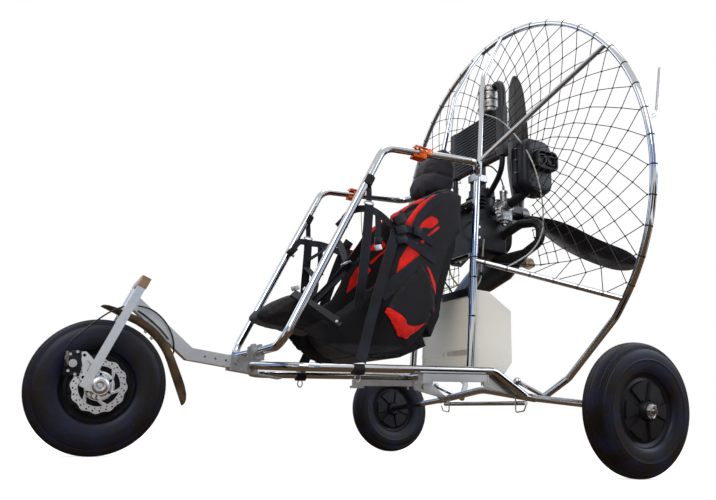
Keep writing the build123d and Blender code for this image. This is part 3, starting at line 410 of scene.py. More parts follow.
# Nose hub. A silver flange carries the drilled brake disc on six screws, and a cap closes the hub.
# The disc is stainless steel, ground flat, so it shows fine rings.
# ground stainless steel: bright, with the fine circles that grinding leaves
ground, tree, shader, place = start_material("ground stainless steel")
hub = Vector(joints["nose_wheel_spin"]["pos_m"])
wheel_middle = add(tree, "Mapping", {"Vector": place, "Location": -hub})
rings = add(tree, "TexWave", {"Vector": wheel_middle.outputs[0], "Scale": 160.0, "Distortion": 1.0},
            wave_type="RINGS", rings_direction="X")
rough = add(tree, "MapRange", {"Value": rings.outputs["Fac"], "To Min": 0.22, "To Max": 0.36})
tree.links.new(rough.outputs[0], shader.inputs["Roughness"])
shader.inputs["Base Color"].default_value = hex_colour("#c9cacb")
shader.inputs["Metallic"].default_value = 1.0
nodes["brake_disc"].data.materials[0] = ground

FLAT_SIDE = Matrix(((0, 0, 1, 0), (1, 0, 0, 0), (0, 1, 0, 0), (0, 0, 0, 1)))
DISC_X = 0.063
DISC_R = 0.0785
WAVES = 12
ARMS = 6
DISC_HOLES = (
    # radius of the ring of holes, radius of a hole, how far the ring is turned on
    (0.0722, 0.0027, 0.0), (0.0645, 0.0020, 0.07),
)
WINDOW_WIDE = radians(46)
WINDOW_SLANT = radians(17)


def circle(across, up, radius, steps=16):
    """The points of a round hole."""
    turns = [tau * n / steps for n in range(steps)]
    return [(across + radius * cos(turn), up + radius * sin(turn)) for turn in turns]


def cut_plate(outlines, thick, place):
    """A plate cut from sheet as a bmesh: the first outline is its edge and the others its holes."""
    data = bpy.data.curves.new("plate", "CURVE")
    data.dimensions = "2D"
    data.fill_mode = "BOTH"
    data.extrude = thick / 2
    for outline in outlines:
        spline = data.splines.new("POLY")
        spline.points.add(len(outline) - 1)
        for point, spot in zip(spline.points, outline):
            point.co = (*spot, 0.0, 1.0)
        spline.use_cyclic_u = True
    sheet = link("plate", data)
    shape = bpy.data.meshes.new_from_object(sheet.evaluated_get(bpy.context.evaluated_depsgraph_get()))
    mesh = bmesh.new()
    mesh.from_mesh(shape)
    bmesh.ops.transform(mesh, matrix=place, verts=mesh.verts)
    bpy.data.objects.remove(sheet)
    bpy.data.curves.remove(data)
    bpy.data.meshes.remove(shape)
    return mesh


def beside_nose(x, behind, above):
    """A point by its place across, behind the nose axle and above it, in millimetres."""
    return hub + Vector((x, behind, above)) / 1000


edge = []
for n in range(10 * WAVES):
    turn = tau * n / (10 * WAVES)
    wave = DISC_R + 0.0024 * cos(WAVES * turn)
    edge.append((wave * cos(turn), wave * sin(turn)))
holes = []
for n in range(2 * WAVES):
    turn = tau * (n + 0.5) / (2 * WAVES)
    for radius, hole, on in DISC_HOLES:
        holes.append(circle(radius * cos(turn + on), radius * sin(turn + on), hole, 10))
for n in range(ARMS):
    start = tau * n / ARMS
    window = []
    for step in range(9):
        turn = start + WINDOW_WIDE * step / 8
        window.append((0.0590 * cos(turn), 0.0590 * sin(turn)))
    for step in range(9):
        turn = start + WINDOW_WIDE * (1 - step / 8) - WINDOW_SLANT
        window.append((0.0435 * cos(turn), 0.0435 * sin(turn)))
    holes.append(window)
mesh = cut_plate([edge] + holes, 0.002, Matrix.Translation(hub + Vector((DISC_X, 0, 0))) @ FLAT_SIDE)
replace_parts(piece("drilled_disc", mesh, ground, "nose_wheel", sharp=30), "brake_disc")

mesh = bmesh.new()
turned(mesh, [(0.052, 0.012), (0.052, 0.041), (0.0655, 0.0415), (0.0670, 0.0395), (0.0660, 0.0300),
              (0.0685, 0.0250), (0.0740, 0.0230), (0.0750, 0.0200), (0.0750, 0.0120), (0.052, 0.012)],
       64, Matrix.Translation(hub))
for n in range(ARMS):
    turn = tau * n / ARMS
    arm = [Vector((0.0668, r * cos(turn + lean), r * sin(turn + lean))) + hub
           for r, lean in ((0.028, 0.0), (0.034, 0.35), (0.041, 0.62), (0.050, 0.80), (0.058, 0.88))]
    for start, end in zip(arm, arm[1:]):
        bar(mesh, start, end, 0.0014, 8)
piece("hub_flange", mesh, ground, "nose_wheel")
mesh = bmesh.new()
for n in range(ARMS):
    turn = tau * (n + 0.5) / ARMS
    spot = hub + Vector((0.0665, 0.0345 * cos(turn), 0.0345 * sin(turn)))
    bar(mesh, spot, spot + Vector((0.0035, 0, 0)), 0.0042, 6)
piece("disc_screws", mesh, nylon, "nose_wheel")

# Fork and head. The legs are flat light-alloy bars welded to round drop-outs; the crown is a
# machined block anodised tan. The stem turns in the head tube that is welded to the nose beam.
# satin light alloy: pale silver that blurs what it reflects, with light scratches along it
alloy, tree, shader, place = start_material("satin light alloy")
stretch = add(tree, "Mapping", {"Vector": place, "Scale": (400.0, 30.0, 30.0)})
lines = add(tree, "TexNoise", {"Vector": stretch.outputs[0], "Scale": 1.0, "Detail": 4.0})
rough = add(tree, "MapRange", {"Value": lines.outputs["Fac"], "To Min": 0.3, "To Max": 0.46})
shade = two_tone(tree, place, 9.0, 3.0, "#b9bcc0", "#dcdcd8")
tree.links.new(shade, shader.inputs["Base Color"])
tree.links.new(rough.outputs[0], shader.inputs["Roughness"])
shader.inputs["Metallic"].default_value = 0.9

# the same alloy with the crown's tan anodising above the head tube
CROWN_ABOVE = 0.034
steering = joints["steering"]
head = Vector(steering["pos_m"])
head_axis = Vector(steering["axis"]).normalized()
fork_finish, tree, shader, place = start_material("fork alloy with a tan crown")
along = add(tree, "VectorMath", {0: place, 1: head_axis}, operation="DOT_PRODUCT")
in_crown = add(tree, "Math", {0: along.outputs["Value"], 1: head.dot(head_axis) + CROWN_ABOVE},
               operation="GREATER_THAN")
silver = two_tone(tree, place, 60.0, 4.0, "#b9bfc4", "#d9dcdb")
tan = two_tone(tree, place, 60.0, 4.0, "#8d6f50", "#b08e69")
colour = add(tree, "MixRGB", {"Fac": in_crown.outputs[0], "Color1": silver, "Color2": tan})
tree.links.new(colour.outputs[0], shader.inputs["Base Color"])
shader.inputs["Roughness"].default_value = 0.34
shader.inputs["Metallic"].default_value = 0.85
nodes["fork"].data.materials[0] = fork_finish
for node in ("head_tube", "nose_beam", "foot_beams", "tank_shelf"):
    nodes[node].data.materials[0] = alloy

mesh = bmesh.new()
turned(mesh, [(0.0870, 0.0245), (0.0925, 0.0240), (0.0950, 0.0195), (0.0956, 0.0110), (0.0930, 0.0065),
              (0.0930, 0.0004), (0.0870, 0.0004), (0.0870, 0.0245)], 40, Matrix.Translation(hub))
for behind, above in ((0, -33), (-14, -30)):
    bar(mesh, beside_nose(84, behind, above), beside_nose(93.5, behind, above), 0.0055, 6)
piece("axle_cap", mesh, ground, "fork")
top = max((vert.co - head).dot(head_axis) for vert in nodes["fork"].data.vertices)
mesh = bmesh.new()
bar(mesh, head + head_axis * (top - 0.002), head + head_axis * (top + 0.003), 0.014, 32)
bar(mesh, head + head_axis * top, head + head_axis * (top + 0.010), 0.0095, 6)
piece("crown_bolt", mesh, zinc, "fork")

# Caliper. A mechanical disc caliper of black-coated alloy: two halves bolted over the disc, a pad
# adjuster on its outside and an arm that the cable pulls. A cut steel plate bolts it to the leg.
# black coating: satin, with dusty lighter patches
coated, tree, shader, place = start_material("black coated alloy")
shade = two_tone(tree, place, 40.0, 5.0, "#0b0807", "#17171c")
tree.links.new(shade, shader.inputs["Base Color"])
shader.inputs["Roughness"].default_value = 0.38
shader.inputs["Specular IOR Level"].default_value = 0.3


def block(mesh, middle, size, corner, place=Matrix.Identity(4)):
    """A box with rounded edges."""
    made = bmesh.ops.create_cube(mesh, size=1.0)["verts"]
    bmesh.ops.scale(mesh, vec=size, verts=made)
    edges = list({edge for vert in made for edge in vert.link_edges})
    found = bmesh.ops.bevel(
        mesh, geom=edges, offset=corner, affect="EDGES", segments=3, profile=0.5, material=-1
    )
    verts = list({vert for face in found["faces"] for vert in face.verts})
    bmesh.ops.transform(mesh, matrix=place @ Matrix.Translation(middle), verts=verts)


CALIPER = (
    # middle across, behind the nose axle and above it, size, corner, all in millimetres
    ((56.5, -79, 60), (5, 50, 72), 2.0),
    ((71.0, -80, 62), (10, 46, 58), 3.0),
    ((71.0, -74, 90), (10, 30, 16), 3.0),
    ((71.0, -73, 31), (10, 28, 14), 3.0),
    ((64.0, -100, 62), (24, 8, 52), 2.5),
    ((82.0, -99, 64), (8, 12, 34), 2.5),
)
mesh = bmesh.new()
for middle, size, corner in CALIPER:
    block(mesh, beside_nose(*middle), Vector(size) / 1000, corner / 1000)
for n in range(4):
    block(mesh, beside_nose(77, -66 - 8 * n, 62), Vector((4, 2.6, 52)) / 1000, 0.0008)
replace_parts(piece("caliper_halves", mesh, coated, "fork", sharp=40), "brake_caliper")
mesh = bmesh.new()
bar(mesh, beside_nose(74, -82, 60), beside_nose(84, -82, 60), 0.0125, 24, 0.0115)
bar(mesh, beside_nose(80, -82, 60), beside_nose(87, -82, 60), 0.0060, 6)
bar(mesh, beside_nose(82, -96, 52), beside_nose(89, -100.5, 79), 0.0036, 10)
bar(mesh, beside_nose(86, -100.5, 70), beside_nose(88.5, -100.5, 81), 0.0058, 16)
for behind, above in ((-73, 94), (-72, 29), (-92, 86), (-92, 38)):
    bar(mesh, beside_nose(72, behind, above), beside_nose(80, behind, above), 0.0046, 6)
piece("caliper_adjuster", mesh, zinc, "fork")
PLATE_EDGE = [(-64, 88), (-60, 96), (-50, 97), (-42, 91), (-12, 62), (-2, 58), (-6, 44), (-26, 10), (-36, 9),
              (-55, 14), (-60, 22), (-52, 34), (-56, 60)]
PLATE_WINDOW = [(-43, 72), (-24, 56), (-30, 34), (-40, 38)]
mesh = cut_plate(
    [[(a / 1000, b / 1000) for a, b in PLATE_EDGE], [(a / 1000, b / 1000) for a, b in PLATE_WINDOW],
     circle(-0.053, 0.086, 0.0045), circle(-0.049, 0.022, 0.0045), circle(-0.016, 0.046, 0.0035)],
    0.004, Matrix.Translation(beside_nose(74, 0, 0)) @ FLAT_SIDE,
)
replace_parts(piece("caliper_plate", mesh, ground, "fork", sharp=30), "brake_caliper")

# Mudguard. A strip moulded in black plastic, crowned across and rounded at both ends, browned by
# road dust. A rubber block under the beam holds it, on two screws with lock nuts.
# dusty black plastic: brown-black, dull, with paler dust
dusty, tree, shader, place = start_material("dusty black plastic")
shade = two_tone(tree, place, 18.0, 7.0, "#241a13", "#6d5a45", (0.3, 0.7))
tree.links.new(shade, shader.inputs["Base Color"])
shader.inputs["Roughness"].default_value = 0.45
shader.inputs["Specular IOR Level"].default_value = 0.35


def lofted(mesh, rows):
    """A skin bridged over rows of points."""
    lines = []
    for row in rows:
        verts = [mesh.verts.new(spot) for spot in row]
        lines.append([mesh.edges.new(pair) for pair in zip(verts, verts[1:])])
    for first, second in zip(lines, lines[1:]):
        bmesh.ops.bridge_loops(mesh, edges=first + second)


GUARD_ROWS = (
    # behind the nose axle, above it, half width, how far its sides come down, in millimetres
    (-20, 247, 10, 1), (-15, 245.5, 20, 4), (-4, 241, 27, 8), (25, 229.5, 31, 13), (68.6, 211, 33, 17),
    (92, 202, 33, 18), (114.3, 190.3, 33, 18), (132.5, 178, 33, 18), (148.5, 165, 33, 18),
    (165, 148.5, 33, 18), (179.6, 130.5, 33, 18), (192.3, 111, 33, 18), (202.8, 90.3, 33, 18),
    (214, 65, 34, 19), (226, 38, 35, 20), (239, 9, 35, 20), (250, -15, 33, 17), (257, -31, 27, 12),
    (261, -39, 19, 6), (262.5, -43, 9, 1),
)
rows = []
for n, (behind, above, half, deep) in enumerate(GUARD_ROWS):
    before = GUARD_ROWS[max(n - 1, 0)]
    after = GUARD_ROWS[min(n + 1, len(GUARD_ROWS) - 1)]
    along = Vector((0, after[0] - before[0], after[1] - before[1])).normalized()
    inward = along.cross(Vector((-1, 0, 0)))
    rows.append([
        beside_nose(half * step / 6, behind, above) + inward * deep * (step / 6) ** 2 / 1000
        for step in range(-6, 7)
    ])
mesh = bmesh.new()
lofted(mesh, rows)
bmesh.ops.recalc_face_normals(mesh, faces=mesh.faces)
bmesh.ops.solidify(mesh, geom=mesh.faces, thickness=0.0026)
guard = piece("mudguard_strip", mesh, dusty, "frame", sharp=50)
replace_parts(guard, "mudguard")
mesh = bmesh.new()
tilted = Matrix.Translation(beside_nose(0, 150, 188)) @ Matrix.Rotation(radians(-43), 4, "X")
block(mesh, Vector((0, 0, 0)), Vector((0.030, 0.046, 0.034)), 0.005, tilted)
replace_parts(piece("mudguard_block", mesh, nylon, "frame"), "mudguard")
mesh = bmesh.new()
for ahead in (-0.014, 0.014):
    bar(mesh, tilted @ Vector((0, ahead, -0.024)), tilted @ Vector((0, ahead, 0.020)), 0.003, 10)
    bar(mesh, tilted @ Vector((0, ahead, -0.028)), tilted @ Vector((0, ahead, -0.021)), 0.0055, 6)
piece("mudguard_screws", mesh, zinc, "frame")

# Brake cable. A black outer over a steel wire: it leaves the caliper's arm, arches over the head,
# hangs in a loop behind the beam and comes back to a clip, tied again where it passes the head.
# black vinyl over a steel coil: smooth and softly shiny
cable_cover, tree, shader, place = start_material("vinyl cable cover")
shade = two_tone(tree, place, 50.0, 3.0, "#08080a", "#191a1f")
tree.links.new(shade, shader.inputs["Base Color"])
shader.inputs["Roughness"].default_value = 0.35
shader.inputs["Specular IOR Level"].default_value = 0.35
CABLE = 0.005


def by_head(x, behind, above):
    """A point by its place across, behind the middle of the steering head and above it, in millimetres."""
    return head + Vector((x, behind, above)) / 1000


fork_run = [beside_nose(88, -100.5, 77.4), beside_nose(90, -102.5, 95), beside_nose(95, -98.5, 116)]
fork_run += [by_head(*spot) for spot in (
    (98, -153, -136), (96, -127, -109), (88, -94, -75), (76, -60, -46), (62, -27, -29),
)]
loop_run = [by_head(*spot) for spot in (
    (50, 16, -21), (44, 42, -22), (40, 67, -30), (36, 92, -46), (34, 116, -70), (34, 134, -102),
    (34, 142, -133), (22, 146, -156), (0, 144, -164), (-20, 136, -156), (-31, 120, -130),
    (-31, 92, -83), (-26, 70, -57),
)]
back_run = [by_head(*spot) for spot in (
    (22.8, 20, -32), (27, 42, -44), (29, 72, -66), (30, 102, -90), (31, 124, -115),
)]
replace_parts(cords("brake_cable_low", [fork_run], CABLE, cable_cover, "fork"),
            "brake_cable_fork")
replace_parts(cords("brake_cable_high", [loop_run, back_run], CABLE, cable_cover, "frame"),
            "brake_cable_frame")
mesh = bmesh.new()
block(mesh, by_head(-25.3, 66, -52), Vector((0.010, 0.016, 0.016)), 0.002)
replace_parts(piece("cable_clip", mesh, nylon, "frame"), "brake_cable_frame")
mesh = bmesh.new()
bar(mesh, beside_nose(88, -100.5, 77.4), beside_nose(90, -102.5, 93), 0.0036, 12)
piece("cable_ferrule", mesh, zinc, "fork")

# Frame tubes. The rails, hoops, axle, ring and braces are round steel tube, bent cold, welded and
# chrome-plated, so they mirror the sky and the ground.
# bright chrome: a mirror with a slight haze from handling
chrome, tree, shader, place = start_material("bright chrome tube")
haze = add(tree, "TexNoise", {"Vector": place, "Scale": 28.0, "Detail": 6.0})
rough = add(tree, "MapRange", {"Value": haze.outputs["Fac"], "From Min": 0.35, "From Max": 0.75,
                                 "To Min": 0.06, "To Max": 0.13})
tree.links.new(rough.outputs[0], shader.inputs["Roughness"])
shader.inputs["Base Color"].default_value = hex_colour("#b9bbbe")
shader.inputs["Metallic"].default_value = 1.0
for node in ("side_rails", "hoop_left", "hoop_right", "axle_beams", "axle_arms", "guard_ring", "guard_tails",
             "ring_struts", "masts", "guard_diagonals", "guard_lower_bars", "line_hooks",
             "engine_cross_bars", "foot_cross_tube"):
    nodes[node].data.materials[0] = chrome
for node in ("nose_sleeve", "mast_clamps", "hoop_foot_clamp", "axle_gussets", "axle_pins"):
    nodes[node].data.materials[0] = zinc

low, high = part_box("hoop_foot_clamp")
mesh = bmesh.new()
for side in (1, -1):
    for share in (0.25, 0.75):
        spot = Vector((side * (high.x - 0.018), low.y + (high.y - low.y) * share, high.z - 0.004))
        bar(mesh, spot, spot + Vector((0, 0, 0.012)), 0.0065, 6)
        bar(mesh, spot, spot + Vector((0, 0, 0.006)), 0.0095, 20)
piece("foot_clamp_bolts", mesh, zinc, "frame")

# Line clamps. Two machined blocks on each hoop grip the tube between them on two screws. They are
# light alloy, anodised orange.
# anodised orange alloy: a clear dye over satin metal
orange, tree, shader, place = start_material("orange anodised alloy")
shade = two_tone(tree, place, 80.0, 3.0, "#9a3a0c", "#dd5f1c")
tree.links.new(shade, shader.inputs["Base Color"])
shader.inputs["Metallic"].default_value = 0.7
shader.inputs["Roughness"].default_value = 0.32
mesh = bmesh.new()
screws = bmesh.new()
for side in (1, -1):
    spots = [vert.co for vert in nodes["line_clamps"].data.vertices if vert.co.x * side > 0]
    low = Vector([min(spot[n] for spot in spots) for n in range(3)])
    high = Vector([max(spot[n] for spot in spots) for n in range(3)])
    grip = Matrix.Translation((low + high) / 2) @ Matrix.Rotation(radians(-4), 4, "X")
    for middle, size in (
        ((0, 0.000, 0.000), (0.036, 0.030, 0.042)), ((0, 0.004, 0.018), (0.036, 0.074, 0.011)),
        ((0, -0.014, -0.018), (0.034, 0.046, 0.010)), ((side * 0.014, 0.010, 0.006), (0.010, 0.052, 0.016)),
    ):
        block(mesh, Vector(middle), Vector(size), 0.0018, grip)
    for behind in (-0.028, -0.010, 0.010, 0.030):
        for start, end, radius, faces in (
            ((0.010, 0.022), (0.010, 0.027), 0.0042, 6), ((0.018, 0.010), (0.021, 0.010), 0.0035, 10),
        ):
            start, end = (grip @ Vector((side * x, behind, z)) for x, z in (start, end))
            bar(screws, start, end, radius, faces)
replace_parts(piece("line_grips", mesh, orange, "frame"), "line_clamps")
piece("line_grip_screws", screws, zinc, "frame")

# Guard net. Knotted black braided cord fills the ring ahead of the propeller: from each tie on the
# ring two cords slant inwards, so the meshes shrink towards the middle.
RING_R = 0.790
RING_AFT = 0.112
RING_Z = 1.068
RING_TILT = -2.9
NET_TIES = 48
NET_ROWS = 14
NET_EDGE = 0.776
NET_SHRINK = 0.924
NET_CORD = 0.0032
WRAP_CORD = 0.0020
TUBE_R = 0.0125
BAR_INNER = (0.200, -0.186, 0.746)
BAR_TIES = (0.235, 0.300, 0.365, 0.430, 0.495, 0.560)
RING_LOW = -39.0
NET_TURN = 0.045
NET_WANDER = 0.007
NET_SEED = 7
NET_AHEAD = 0.010
NET_BULGE = 0.075
OPENING_HALF = 0.24
OPENING_TOP = 1.2
BAR_CLEAR = 0.030

# braided nylon cord: dull brown-black, mottled about 1 mm apart by its weave
net_cord, tree, shader, place = start_material("braided nylon cord")
shade = two_tone(tree, place, 900.0, 1.0, "#120e0c", "#2a2320")
tree.links.new(shade, shader.inputs["Base Color"])
shader.inputs["Roughness"].default_value = 0.7


def in_ring(radius, angle, ahead):
    """A point in the ring's plane, by radius and angle from the left, and how far ahead of it."""
    tilt = radians(RING_TILT)
    up = radius * sin(angle)
    return at(radius * cos(angle), RING_AFT + up * sin(tilt) - ahead, RING_Z + up * cos(tilt))


def bar_spot(x):
    """The point on the lower bars at a distance from the middle."""
    end = in_ring(RING_R, radians(RING_LOW), 0)
    share = (abs(x) - BAR_INNER[0]) / (end.x - BAR_INNER[0])
    spot = at(*BAR_INNER).lerp(end, share)
    return Vector((spot.x if x > 0 else -spot.x, spot.y, spot.z))


def is_low(knot):
    """Whether a knot would lie below the lower bars."""
    return knot.z < bar_spot(knot.x).z + BAR_CLEAR


def in_opening(knot):
    """Whether a knot would lie where the engine fills the ring."""
    return abs(knot.x) < OPENING_HALF and knot.z < OPENING_TOP


def bar_tie(knot):
    """The tie on the lower bars nearest to a knot."""
    tie = min(BAR_TIES, key=lambda x: abs(x - abs(knot.x)))
    return bar_spot(tie if knot.x > 0 else -tie)


def wrapped(mesh, spot, along, radius, turns=4):
    """A few close turns of cord round a tube."""
    along = along.normalized()
    place = Matrix.Translation(spot) @ along.to_track_quat("X", "Z").to_matrix().to_4x4()
    for n in range(turns):
        middle = (n - (turns - 1) / 2) * WRAP_CORD
        ring = circle(middle, radius, WRAP_CORD / 2, 6)
        turned(mesh, ring + ring[:1], 14, place)


# the knots wander a few mm, by a seeded noise, so every run ties the same net
noise.seed_set(NET_SEED)
knots = {}
for row in range(NET_ROWS):
    radius = NET_EDGE * NET_SHRINK ** row
    for n in range(NET_TIES):
        angle = tau * (n + 0.5 * (row % 2)) / NET_TIES + NET_TURN
        wander = noise.noise_vector(Vector((n * 1.7, row * 2.3, 0.5))) * NET_WANDER * min(row, 3) / 3
        ahead = NET_AHEAD + NET_BULGE * (1 - radius / NET_EDGE)
        knots[row, n] = in_ring(radius, angle, ahead) + wander
mesh = bmesh.new()
wraps = bmesh.new()
for (row, n), knot in knots.items():
    if is_low(knot) or in_opening(knot):
        continue
    bmesh.ops.create_icosphere(mesh, subdivisions=1, radius=NET_CORD * 1.25, matrix=Matrix.Translation(knot))
    if row == 0:
        angle = tau * n / NET_TIES + NET_TURN
        around = Vector((-sin(angle), 0, cos(angle)))
        wrapped(wraps, in_ring(RING_R, angle, 0), around, TUBE_R, 3)
    steps = (0, 1) if row % 2 else (0, -1)
    for step in steps:
        below = knots.get((row + 1, (n + step) % NET_TIES))
        if below is not None and not in_opening(below):
            bar(mesh, knot, bar_tie(below) if is_low(below) else below, NET_CORD / 2, 5)
    for step in steps if row else ():
        above = knots[row - 1, (n + step) % NET_TIES]
        if is_low(above):
            bar(mesh, knot, bar_tie(above), NET_CORD / 2, 5)
for side in (1, -1):
    for x in BAR_TIES:
        wrapped(wraps, bar_spot(side * x), bar_spot(side * 0.5) - bar_spot(side * 0.3), 0.0095)
piece("guard_net", mesh, net_cord, "frame", sharp=80)
piece("net_wraps", wraps, net_cord, "frame", sharp=80)

# Propeller. Three moulded carbon-fibre blades under gloss black lacquer, held by their roots in an
# alloy hub behind the reduction drive.
# lacquered carbon fibre: black, glossy, its 4 mm weave only just showing
carbon, tree, shader, place = start_material("lacquered carbon fibre")
check = add(tree, "TexChecker", {
    "Vector": place, "Scale": 260.0, "Color1": hex_colour("#0d0908"), "Color2": hex_colour("#120e12"),
})
tree.links.new(check.outputs["Color"], shader.inputs["Base Color"])
shader.inputs["Roughness"].default_value = 0.34
shader.inputs["Coat Weight"].default_value = 0.35
shader.inputs["Coat Roughness"].default_value = 0.08
nodes["propeller"].data.materials[0] = carbon

# Engine. A small two-stroke with a cast case, a water jacket over its cylinder and a hand starter
# ahead of it. It is painted dark grey and bolted between two plates on the cross bars.
# sand-cast alloy under heat-proof paint: dark grey with a coarse grain
cast, tree, shader, place = start_material("painted cast alloy")
grain = add(tree, "TexNoise", {"Vector": place, "Scale": 300.0, "Detail": 3.0})
bump = add(tree, "Bump", {"Height": grain.outputs["Fac"], "Strength": 0.3, "Distance": 0.0008})
shade = two_tone(tree, place, 24.0, 4.0, "#0c0908", "#17181e")
tree.links.new(shade, shader.inputs["Base Color"])
tree.links.new(bump.outputs[0], shader.inputs["Normal"])
shader.inputs["Specular IOR Level"].default_value = 0.35
shader.inputs["Roughness"].default_value = 0.45
for node in ("engine_block", "reduction_drive", "radiator"):
    nodes[node].data.materials[0] = cast
for node in ("engine_plates", "exhaust_pipe", "exhaust_chamber"):
    nodes[node].data.materials[0] = coated

CASE_AFT = 0.005
mesh = bmesh.new()
for z in (0.965, 0.845):
    for x in (0.060, -0.060):
        bar(mesh, at(x, -0.068, z), at(x, -0.076, z), 0.006, 6)
for n in range(6):
    turn = tau * n / 6
    spot = at(0.044 * cos(turn), CASE_AFT + 0.044 * sin(turn), 1.117)
    bar(mesh, spot, spot + Vector((0, 0, 0.008)), 0.0055, 6)
for side in (1, -1):
    for aft, z in ((-0.165, 0.985), (-0.075, 0.925), (-0.075, 0.880), (-0.170, 0.765)):
        bar(mesh, at(side * 0.081, aft, z), at(side * 0.089, aft, z), 0.0065, 6)
piece("engine_bolts", mesh, zinc, "frame")

mesh = bmesh.new()
bar(mesh, at(0, CASE_AFT, 1.126), at(0, CASE_AFT, 1.165), 0.013, 16, 0.011)
bar(mesh, at(0, CASE_AFT, 1.160), at(0.030, CASE_AFT - 0.012, 1.172), 0.0085, 12)
for n in range(4):
    rise = 0.012 * n
    bar(mesh, at(0.145 + 0.001 * n, -0.112, 0.985 + rise), at(0.145, -0.112, 0.991 + rise), 0.021, 20)
block(mesh, at(0.115, -0.128, 1.004), Vector((0.046, 0.040, 0.056)), 0.006)
piece("plug_cap_and_coil", mesh, nylon, "frame")

# Carburettor. A small die-cast carburettor with a flange to the cylinder, a round throttle slide
# under a screwed top, a float bowl, a brass drain plug and the throttle cable's adjuster.
# die-cast light alloy: dull grey, a little rough, in cloudy lighter and darker patches
die_cast, tree, shader, place = start_material("die-cast light alloy")
shade = two_tone(tree, place, 70.0, 5.0, "#5f5f60", "#a9aaa8", (0.35, 0.65))
tree.links.new(shade, shader.inputs["Base Color"])
shader.inputs["Metallic"].default_value = 0.85
shader.inputs["Roughness"].default_value = 0.45
nodes["carburettor"].data.materials[0] = die_cast
CARB_AFT = 0.040
CARB_Z = 1.030
mesh = bmesh.new()
for x in (0.062, 0.074, 0.136):
    turned(mesh, [(x, 0.020), (x, 0.0255), (x + 0.004, 0.0255), (x + 0.004, 0.020), (x, 0.020)], 28,
           Matrix.Translation(at(0, CARB_AFT, CARB_Z)))
for x, aft, low, high, radius in (
    (0.105, 0.040, 1.088, 1.096, 0.0175), (0.105, 0.039, 1.096, 1.118, 0.0060),
    (0.088, 0.020, 0.978, 0.990, 0.0040), (0.122, 0.020, 0.978, 0.990, 0.0040),
    (0.105, 0.040, 0.944, 0.956, 0.0080),
):
    bar(mesh, at(x, aft, low), at(x, aft, high), radius, 6 if radius < 0.007 else 24)
for aft, z in ((0.012, 1.012), (0.012, 0.996), (0.012, 1.044)):
    bar(mesh, at(0.105, aft, z), at(0.105, aft - 0.014, z), 0.0045, 10)
block(mesh, at(0.132, 0.022, 1.016), Vector((0.008, 0.034, 0.012)), 0.002)
block(mesh, at(0.105, 0.014, 1.000), Vector((0.030, 0.006, 0.040)), 0.0015)
piece("carburettor_fittings", mesh, zinc, "frame")

# Air box. A two-part moulded silencer box for the engine's intake, screwed together round a seam,
# with two mouths in a round-cornered snout. A rubber boot joins it to the carburettor.
POD = Vector((0.228, 0.084, 1.166))
POD_SIZE = Vector((0.096, 0.152, 0.232))


def pod(mesh, middle, size, corner, soft):
    """A box whose four edges across the machine are rounded widely and whose others are softened."""
    verts = bmesh.ops.create_cube(mesh, size=1.0)["verts"]
    bmesh.ops.scale(mesh, vec=size, verts=verts)
    edges = list({edge for vert in verts for edge in vert.link_edges})
    long = [edge for edge in edges if abs(edge.verts[0].co.x - edge.verts[1].co.x) > size.x / 2]
    made = bmesh.ops.bevel(
        mesh, geom=long, offset=corner, affect="EDGES", segments=6, profile=0.5, material=-1
    )
    verts = list({vert for face in made["faces"] for vert in face.verts})
    rims = list({edge for vert in verts for edge in vert.link_edges
                 if abs(edge.verts[0].co.x - edge.verts[1].co.x) < 1e-6 and edge.calc_face_angle(0) > 1})
    made = bmesh.ops.bevel(
        mesh, geom=rims, offset=soft, affect="EDGES", segments=4, profile=0.5, material=-1
    )
    verts = list({vert for face in made["faces"] for around in face.verts for edge in around.link_edges
                  for vert in edge.verts})
    bmesh.ops.translate(mesh, vec=middle, verts=verts)


mesh = bmesh.new()
pod(mesh, at(*POD), POD_SIZE, 0.048, 0.022)
pod(mesh, at(POD.x, POD.y, POD.z), Vector((0.007, POD_SIZE.y + 0.009, POD_SIZE.z + 0.009)), 0.050, 0.001)
pod(mesh, at(POD.x + 0.050, POD.y + 0.026, POD.z + 0.020), Vector((0.046, 0.112, 0.084)), 0.026, 0.005)
mouth = max(mesh.faces, key=lambda face: face.calc_center_median().x)
bmesh.ops.inset_region(mesh, faces=[mouth], thickness=0.004)
bmesh.ops.inset_region(mesh, faces=[mouth], thickness=0.002, depth=-0.016)
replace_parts(piece("intake_pod", mesh, nylon, "frame", sharp=40), "air_box")
mesh = bmesh.new()
for aft in (POD.y + 0.002, POD.y + 0.050):
    turned(mesh, [(0.052, 0.004), (0.052, 0.0150), (0.064, 0.0165), (0.0675, 0.0190), (0.0670, 0.0215),
                  (0.062, 0.0215), (0.052, 0.0205)], 36, Matrix.Translation(at(POD.x, aft, POD.z + 0.022)))
piece("intake_mouths", mesh, cable_cover, "frame")
mesh = bmesh.new()
for aft, rise in (
    (-0.080, 0.070), (-0.081, 0.020), (-0.081, -0.035), (-0.020, 0.1195), (0.045, 0.1195), (-0.02, -0.1195),
):
    spot = at(POD.x - 0.004, POD.y + aft, POD.z + rise)
    bar(mesh, spot, spot + Vector((0.012, 0, 0)), 0.0040, 8)
piece("intake_screws", mesh, zinc, "frame")

